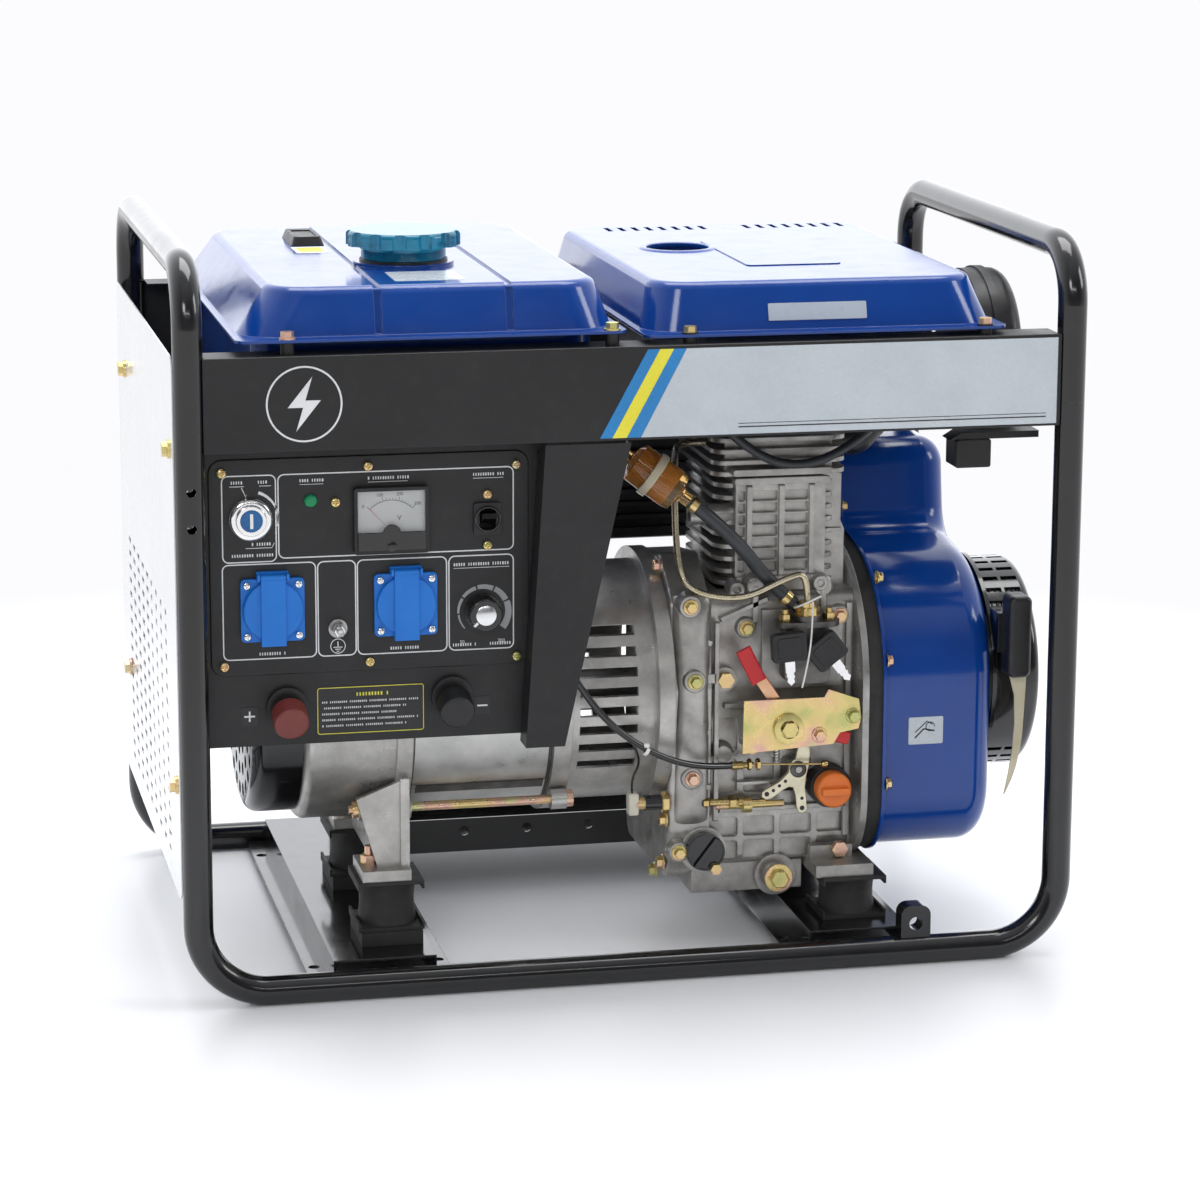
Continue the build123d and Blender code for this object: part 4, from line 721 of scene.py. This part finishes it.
# Cable tie on the pump union, with a long tail, and the two spare keys that hang from it
tube_piece("key_tie_loop", [(164, -192, 318), (178, -192, 324), (184, -180, 322), (176, -168, 316),
    (162, -170, 312), (157, -184, 313)], 0.9, white_nylon, closed=True)
tube_piece("key_tie_tail", [(172, -192, 320), (170, -200, 300), (166, -204, 270), (160, -205, 246)], 0.8,
    white_nylon)
for name, centre, lean in (("left_key", (149, -200, 281), -4), ("right_key", (184, -199, 276), -38)):
    turn = Matrix.Translation(centre) @ Matrix.Rotation(math.radians(lean), 4, "Y")
    bm = bmesh.new()
    slab(bm, rounded(-16, 16, -12, 14, 4), 3.6, -3.6, 1.0)
    slab(bm, rounded(-11, 11, -8, 10, 3), -3.6, -4.4, 0.4)
    bm.transform(turn)
    new_piece(name + "_head", bm, black_plastic)
    bm = bmesh.new()
    slab(bm, [(-4.5, -10), (-4.5, -22), (-3.4, -23), (-4.0, -25), (-2.8, -27), (-3.6, -30), (0, -34),
        (3.6, -31), (2.9, -28), (4.1, -26), (3.0, -23), (4.5, -21), (4.5, -10)], 1.1, -1.1, 0.3)
    bm.transform(turn)
    new_piece(name + "_blade", bm, chrome)

# Control plate: its bolts, and the washer under the middle one
bm = bmesh.new()
hex_bolt(bm, (180, -191.9, 199), (0, -1, 0), 9, 4.5, 7)
hex_bolt(bm, (211, -191.9, 215), (0, -1, 0), 10, 5, 7)
turned(bm, [(8.5, 0), (13.2, 0.2), (13.6, 1.6), (8.8, 2.6), (8.5, 2.6)], (151.6, -193.9, 206.3), (0, -1, 0),
    40)
new_piece("control_plate_bolts", bm, zinc_yellow)

# Throttle cable: sheath, ferrule, adjuster nuts and the ball on the wire
tube_piece("throttle_sheath", [(-66, -214, 300), (-40, -210, 254), (-6, -206, 214), (36, -202, 187),
    (78, -192, 174), (107, -180, 172)], 3.0, shiny_plastic)
bm = bmesh.new()
turned(bm, [(0, 0), (3.8, 0), (3.8, 10), (2.6, 11), (2.6, 20), (0, 20)], (103, -181, 172), (1, 0.05, -0.02),
    24)
hex_bolt(bm, (118, -180, 172), (1, 0, 0), 9.5, 3)
hex_bolt(bm, (126, -180, 171.9), (1, 0, 0), 9.5, 3)
turned(bm, [(0, 0), (0.9, 0), (0.9, 62), (0, 62)], (124, -180, 171.8), (1, 0, -0.045), 10)
turned(bm, [(0, -3.6), (2.4, -2.8), (3.4, -1), (3.4, 1), (2.4, 2.8), (0, 3.6)], (188.5, -180, 169),
    (1, 0, 0), 20)
ferrule = new_piece("throttle_ferrule", bm, brass)
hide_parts("throttle_cable")
bm = bmesh.new()
turned(bm, [(3.0, -1.6), (4.1, -1.6), (4.1, 1.6), (3.0, 1.6), (3.0, -1.6)], (20, -203.6, 195.5),
    (0.8, 0.08, -0.55), 24)
slab(bm, [(17.5, 199), (22.5, 199), (22.5, 203), (17.5, 203)], -202, -206.5, 0.4)
new_piece("throttle_tie", bm, white_nylon)

# Bosses, ribs and flange bolts on the gear cover and the crankcase
bm = bmesh.new()
for x, z, radius, reach in ((66, 316, 10, 9), (70, 249, 10, 12), (69, 160, 10, 9), (100, 178, 8, 6),
        (120, 292, 9, 5), (58, 92, 9, 6), (205, 300, 9, 6), (128, 330, 8, 5), (190, 326, 8, 5)):
    turned(bm, [(radius + 2.5, -2), (radius + 0.6, 1.5), (radius, reach - 0.8), (radius - 0.8, reach),
        (0, reach)], (x, -157.5 if x > 87 else -166, z), (0, -1, 0), 28)
new_piece("case_bosses", bm, bare_casting)
bm = bmesh.new()
for x, z, y in ((66, 316, -175), (70, 249, -178), (69, 160, -175), (58, 92, -172), (120, 292, -162.5)):
    hex_bolt(bm, (x, y, z), (0, -1, 0), 9, 5, 7)
for y, z in ((-160, 120), (-150, 78), (-120, 62), (-160, 300), (-130, 345), (-168, 180)):
    hex_bolt(bm, (48.9, y, z), (-1, 0, 0), 9, 5, 7)
hex_bolt(bm, (205, -163.5, 300), (0, -1, 0), 9, 5, 7)
hex_bolt(bm, (150, -171.1, 63), (0, -1, 0), 15, 6, 13)
new_piece("case_bolts", bm, zinc_yellow)
bm = bmesh.new()
for x0, z0, x1, z1, wide in ((92, 118, 92, 300, 4), (100, 222, 214, 222, 4), (214, 96, 214, 312, 5),
        (96, 300, 140, 318, 4), (92, 236, 100, 247, 5), (70, 249, 92, 249, 9), (128, 330, 128, 296, 5),
        (190, 326, 190, 296, 5), (100, 178, 60, 160, 6), (96, 126, 214, 126, 4), (88, 150, 60, 150, 5),
        (88, 200, 58, 200, 5), (88, 280, 60, 292, 5), (112, 150, 184, 150, 3)):
    flat = Vector((z1 - z0, -(x1 - x0))).normalized() * wide / 2
    y = -157.5 if max(x0, x1) > 92.5 else -164
    slab(bm, [(x0 - flat.x, z0 - flat.y), (x1 - flat.x, z1 - flat.y), (x1 + flat.x, z1 + flat.y),
        (x0 + flat.x, z0 + flat.y)], y, y - 5.5, 1.2)
new_piece("case_ribs", bm, bare_casting)

# Cylinder front: ribs, flanges and bosses, the plate beside it, the gear cover and the dark duct behind
bm = bmesh.new()
for x, wide in ((124, 5), (153.4, 5), (181, 5)):
    slab(bm, [(x - wide / 2, 336), (x + wide / 2, 336), (x + wide / 2, 418), (x - wide / 2, 418)], -149.8,
        -153.5, 1.2)
slab(bm, rounded(109, 197, 419, 425, 2.5), -149.5, -155, 1.2)
slab(bm, rounded(107, 199, 427, 433, 2.5), -149.5, -156.5, 1.2)
slab(bm, [(112, 331), (194, 331), (194, 336), (112, 336)], -149.8, -153, 1.0)
for x, z in ((111, 327), (187, 330)):
    turned(bm, [(7.4, 0), (7.0, 18), (6.4, 19), (3.4, 19), (3.2, 14), (0, 14)], (x, -145, z), (0, -1, 0), 28)
new_piece("cylinder_ribs", bm, bare_casting)
bm = bmesh.new()
slab(bm, [(190, 316), (216.5, 316), (216.5, 372), (213, 380), (213, 424), (199, 428), (190, 428)], -126,
    -134, 1.5)
slab(bm, [(190, 371), (213, 371), (213, 374), (190, 374)], -134, -136, 0.8)
new_piece("cylinder_side_plate", bm, bare_casting)
bm = bmesh.new()
cover = []
for i in range(25):
    v = i / 24
    row = []
    for k in range(13):
        u = -1 + 2 * k / 12
        end = max(0.0, 1 - abs(2 * v - 1) ** 6)
        row.append(bm.verts.new((70 + 17.5 * u, -163.0 - 11.0 * (1 - u * u) ** 0.5 * end ** 0.5,
            112 + 212 * v)))
    cover.append(row)
for a, b in zip(cover, cover[1:]):
    for k in range(12):
        bm.faces.new((a[k], a[k + 1], b[k + 1], b[k]))
new_piece("gear_cover_bulge", bm, bare_casting)
bm = bmesh.new()
slab(bm, rounded(-46, 122, 334, 476, 6), 66, 44, 2.0)
for i in range(11):
    slab(bm, [(-40, 342 + 12 * i), (114, 342 + 12 * i), (114, 346 + 12 * i), (-40, 346 + 12 * i)], 44.2, 36,
        1.0)
new_piece("intake_shroud", bm, satin_black)

# Grip on the oil filter lid, and the oil pressure switch with its plug and wire
bm = bmesh.new()
stroke(bm, arc(82, 92, 16.2, 0, 350, 30), 1.6, -176.0, 0.8, closed=True)
slab(bm, [(70, 80), (74, 78), (94, 104), (90, 106)], -176.0, -179.5, 1.0)
new_piece("oil_filter_lid_ridge", bm, shiny_plastic)
bm = bmesh.new()
hex_bolt(bm, (49, -163, 137), (-1, 0, 0), 17, 6)
new_piece("oil_switch_hex", bm, brass)
bm = bmesh.new()
slab(bm, rounded(13, 22, 127, 147, 1.5), -158, -168, 1.0)
new_piece("oil_switch_plug", bm, cream_plastic)
tube_piece("oil_switch_wire", [(17, -163, 146), (15, -166, 160), (22, -172, 176), (16, -180, 192),
    (8, -192, 206)], 1.1, shiny_plastic)

# Stop screw in front of the case, the governor spring, and the shaped governor lever
bm = bmesh.new()
hex_bolt(bm, (104, -169, 135), (1, 0, 0), 11, 6)
hex_bolt(bm, (80, -169, 136), (1, 0, 0), 8, 5)
turned(bm, [(0, 0), (3.6, 0), (3.6, 18), (2.2, 19), (2.2, 26), (0, 26)], (86, -169, 135.6), (1, 0, -0.02), 20)
turned(bm, [(0, 0), (4.6, 0), (4.6, 10), (2.4, 12), (2.4, 24), (1.2, 26), (0, 26)], (112, -169, 134.8),
    (1, 0, -0.02), 20)
new_piece("stop_screw", bm, brass)
bm = bmesh.new()
for k in range(9):
    turned(bm, [(2.6, 0), (3.6, 0.6), (2.6, 1.2), (2.6, 0)], (146, -172, 194 - 2.6 * k), (0.25, 0, -1), 16)
turned(bm, [(2.7, 0), (2.7, 24), (0, 24)], (146, -172, 195), (0.02, 0, -1), 14)
new_piece("governor_spring", bm, machined)
bm = bmesh.new()
slab(bm, [(158.5, 166), (157.5, 160), (150, 152.5), (139, 146.5), (133.6, 143), (133.4, 139), (137, 136.4),
    (142, 137), (151, 143.6), (158, 147), (162.5, 146), (165, 138), (166, 128), (168, 122.6), (172, 121.8),
    (175.4, 125), (174.6, 134), (173.4, 146), (174.6, 158), (176.6, 166), (177.4, 178), (176.5, 186),
    (172.5, 189), (168, 188), (166.2, 182), (164.5, 173), (161, 170.5)], -168.0, -172.0, 0.5)
shaped = new_piece("governor_plate", bm, cream_zinc, "governor_lever", sharp=30)
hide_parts("governor_lever")
# Painted shade: dark discs where the holes in the governor plate are, for the shade seen through them
bm = bmesh.new()
for x, z, radius in ((138, 141.5, 2.2), (144, 144.5, 1.6), (149.5, 148.5, 1.6), (155, 152.5, 1.6),
        (170.7, 127, 2.2), (170.5, 136, 1.6)):
    turned(bm, [(radius, 0), (radius, 0.15), (0, 0.16)], (x, -172.0, z), (0, -1, 0), 20)
new_piece("governor_hole_shade", bm, dark_print, "governor_lever")
bm = bmesh.new()
turned(bm, [(7.4, 0), (7.4, 1.4), (6.0, 2.4), (4.0, 2.6), (4.0, 1.4), (0, 1.4)], (166.5, -172.0, 163),
    (0, -1, 0), 28)
new_piece("governor_boss", bm, dark_steel, "governor_lever")

# ---- Blower label and bolts, recoil tag, regulator box ---------------------------------------
bm = bmesh.new()
slab(bm, rounded(264, 296, 184, 209, 1.5), -185.9, -186.4)
new_piece("blower_label", bm, silver_film)
bm = bmesh.new()
stroke(bm, [(270, 190), (278, 198), (288, 196)], 1.4, -186.4, 0.1)
stroke(bm, [(270, 195), (281, 205), (286, 202)], 1.0, -186.4, 0.1)
stroke(bm, arc(284, 200, 4.0, 0, 300, 14), 0.8, -186.4, 0.1)
new_piece("blower_label_marks", bm, dark_print)
bm = bmesh.new()
bolt_seat = 242.1
for y, z in ((-188.8, 150), (-186, 262), (-150, 330), (-30, 372), (40, 74)):
    hex_bolt(bm, (bolt_seat, y, z), (1, 0, 0), 8, 4, 6)
new_piece("blower_bolts", bm, zinc_yellow)
bm = bmesh.new()
slab(bm, [(354, 250), (371.5, 250)] + [(371, 236), (370, 210), (369, 190), (367.5, 177), (364, 160),
    (360, 148), (354.5, 136), (353, 134)] + [(356.5, 152), (360, 176), (361.5, 200), (360.5, 226)], -189,
    -190.4, 0.2)
new_piece("recoil_tag", bm, cream_clear)
bm = bmesh.new()
slab(bm, rounded(296, 328, 437, 462, 2), -176, -206, 1.0)
slab(bm, [(290, 462), (372, 462), (372, 468), (300, 468)], -182, -204, 0.6)
new_piece("regulator_box", bm, satin_black)

# ---- Tank and cover details ------------------------------------------------------------------

def top_sheet(name, x0, x1, y0, y1, z, finish, radius=3.0, thick=0.3):
    bm = bmesh.new()
    outline = rounded(x0, x1, y0, y1, radius)
    low = [bm.verts.new((x, y, z)) for x, y in outline]
    high = [bm.verts.new((x, y, z + thick)) for x, y in outline]
    bm.faces.new(high)
    bm.faces.new(list(reversed(low)))
    for i in range(len(outline)):
        j = (i + 1) % len(outline)
        bm.faces.new((low[i], low[j], high[j], high[i]))
    return new_piece(name, bm, finish)


top_sheet("gauge_label", -252, -222, 8, 52, 611.9, white_print)
top_sheet("gauge_label_lines", -248, -226, 14, 46, 612.15, yellow_print, 1.0, 0.12)
top_sheet("cap_label", -196, -136, -190, -130, 611.9, silver_film, 3.0, 0.25)
top_sheet("cover_plate_large", 128, 214, -120, 60, 607.9, deep_blue, 6.0, 0.9)
top_sheet("gauge_window_edge", -246, -224, 66, 115, 617.05, shiny_plastic, 3.0, 0.3)
bm = bmesh.new()
turned(bm, [(28.4, -2), (28.4, 0.8), (30.5, 1.6), (34.5, 1.0), (36.5, -0.2)], (97, 15, 607.9), (0, 0, 1), 64)
new_piece("cover_hole_ring", bm, deep_blue)
bm = bmesh.new()
lean = Matrix.Translation((0, -223.4, 582)) @ Matrix.Rotation(math.radians(-16.5), 4, "X")
slab(bm, rounded(120, 207, -7.5, 7.5, 1.0), 0.3, -0.3)
bm.transform(lean)
new_piece("cover_front_label", bm, label_blue)

# Painted shade: a near-black ring round the blue filler neck, where it lies in the shade under the cap
bm = bmesh.new()
turned(bm, [(38.5, 612.5), (38.5, 616.8), (37.5, 617.5)], (-170, -74, 0), (0, 0, 1), 64)
new_piece("filler_neck_painted_shade", bm, dark_print)

# ---- Alternator: edge bands and seams of the stator sheet ------------------------------------
bm = bmesh.new()
for x in (-182, -60):
    turned(bm, [(110.05, 0), (110.6, 0.6), (110.6, 2.6), (110.05, 3.2)], (x - 1.6, -75, 232), (1, 0, 0), 96)
new_piece("stator_edge_bands", bm, dark_steel)
bm = bmesh.new()
for first in (40, 140, 218, 300):
    across = [(-75 + 110.5 * math.cos(math.radians(first + k)),
        232 + 110.5 * math.sin(math.radians(first + k))) for k in range(0, 7)]
    rows = [[bm.verts.new((x, y, z)) for y, z in across] for x in (-177.0, -63.0)]
    for i in range(len(across) - 1):
        bm.faces.new((rows[0][i], rows[0][i + 1], rows[1][i + 1], rows[1][i]))
new_piece("stator_seams", bm, dark_steel)

# ---- Camera, floor and light -----------------------------------------------------------------
camera_data = bpy.data.cameras.new("camera")
camera_data.lens = 115.37
camera_data.sensor_width = 36.0
camera_data.clip_end = 100.0
camera = bpy.data.objects.new("camera", camera_data)
camera.location = (-0.7137, -3.3732, 1.0492)
camera.rotation_euler = [math.radians(a) for a in (77.543, -0.194, -12.273)]
bpy.context.scene.collection.objects.link(camera)
bpy.context.scene.camera = camera
bpy.context.scene.view_settings.view_transform = "Standard"

floor_mesh = bpy.data.meshes.new("floor")
floor_mesh.from_pydata([(-8, -8, 0), (8, -8, 0), (8, 8, 0), (-8, 8, 0)], [], [(0, 1, 2, 3)])
floor = bpy.data.objects.new("floor", floor_mesh)
bpy.context.scene.collection.objects.link(floor)
floor_mat, floor_tree, floor_shader = new_material("pale_floor")
floor_shader.inputs["Roughness"].default_value = 0.4
floor_shader.inputs["Base Color"].default_value = (0.90, 0.905, 0.92, 1.0)
spot = floor_tree.nodes.new("ShaderNodeTexCoord")
reach = floor_tree.nodes.new("ShaderNodeVectorMath")
reach.operation = "LENGTH"
floor_tree.links.new(spot.outputs["Object"], reach.inputs[0])
fade = level(floor_tree, reach.outputs["Value"], 0.0, 1.0, 0.62, 1.5)
glow = floor_tree.nodes.new("ShaderNodeEmission")
glow.inputs["Color"].default_value = (0.973, 0.973, 0.991, 1.0)
blend = floor_tree.nodes.new("ShaderNodeMixShader")
floor_tree.links.new(fade, blend.inputs["Fac"])
floor_tree.links.new(floor_shader.outputs["BSDF"], blend.inputs[1])
floor_tree.links.new(glow.outputs["Emission"], blend.inputs[2])
floor_tree.links.new(blend.outputs["Shader"], floor_tree.nodes["Material Output"].inputs["Surface"])
floor_mesh.materials.append(floor_mat)

world = bpy.data.worlds.new("studio")
world.use_nodes = True
sky = world.node_tree
seen = sky.nodes["Background"]
seen.inputs["Color"].default_value = (0.973, 0.973, 0.991, 1.0)
cast = sky.nodes.new("ShaderNodeBackground")
cast.inputs["Color"].default_value = (0.95, 0.965, 1.0, 1.0)
way = sky.nodes.new("ShaderNodeTexCoord")
parts = sky.nodes.new("ShaderNodeSeparateXYZ")
sky.links.new(way.outputs["Generated"], parts.inputs["Vector"])
behind = level(sky, parts.outputs["Y"], 0.17, 1.8, -0.75, 0.9)
above = level(sky, parts.outputs["Z"], 0.0, 0.75, 0.35, 0.9)
total = sky.nodes.new("ShaderNodeMath")
total.operation = "MAXIMUM"
sky.links.new(behind, total.inputs[0])
sky.links.new(above, total.inputs[1])
sky.links.new(total.outputs["Value"], cast.inputs["Strength"])
rays = sky.nodes.new("ShaderNodeLightPath")
either = sky.nodes.new("ShaderNodeMixShader")
sky.links.new(rays.outputs["Is Camera Ray"], either.inputs["Fac"])
sky.links.new(cast.outputs["Background"], either.inputs[1])
sky.links.new(seen.outputs["Background"], either.inputs[2])
sky.links.new(either.outputs["Shader"], sky.nodes["World Output"].inputs["Surface"])
bpy.context.scene.world = world


def soft_light(name, place, aim, width, height, watts):
    data = bpy.data.lights.new(name, "AREA")
    data.shape = "RECTANGLE"
    data.size = width
    data.size_y = height
    data.energy = watts
    lamp = bpy.data.objects.new(name, data)
    lamp.location = place
    lamp.rotation_euler = (Vector(aim) - Vector(place)).to_track_quat("-Z", "Y").to_euler()
    bpy.context.scene.collection.objects.link(lamp)


soft_light("front_strip", (-0.3, -3.6, 1.75), (0, 0, 0.55), 2.6, 0.16, 9)
soft_light("front_box", (-1.6, -3.2, 2.2), (0, 0, 0.3), 1.0, 0.8, 20)
soft_light("right_box", (3.0, -1.4, 2.0), (0, 0, 0.3), 0.9, 1.4, 22)
soft_light("top_box", (0.2, 0.4, 3.2), (0, 0, 0.3), 2.4, 1.6, 60)
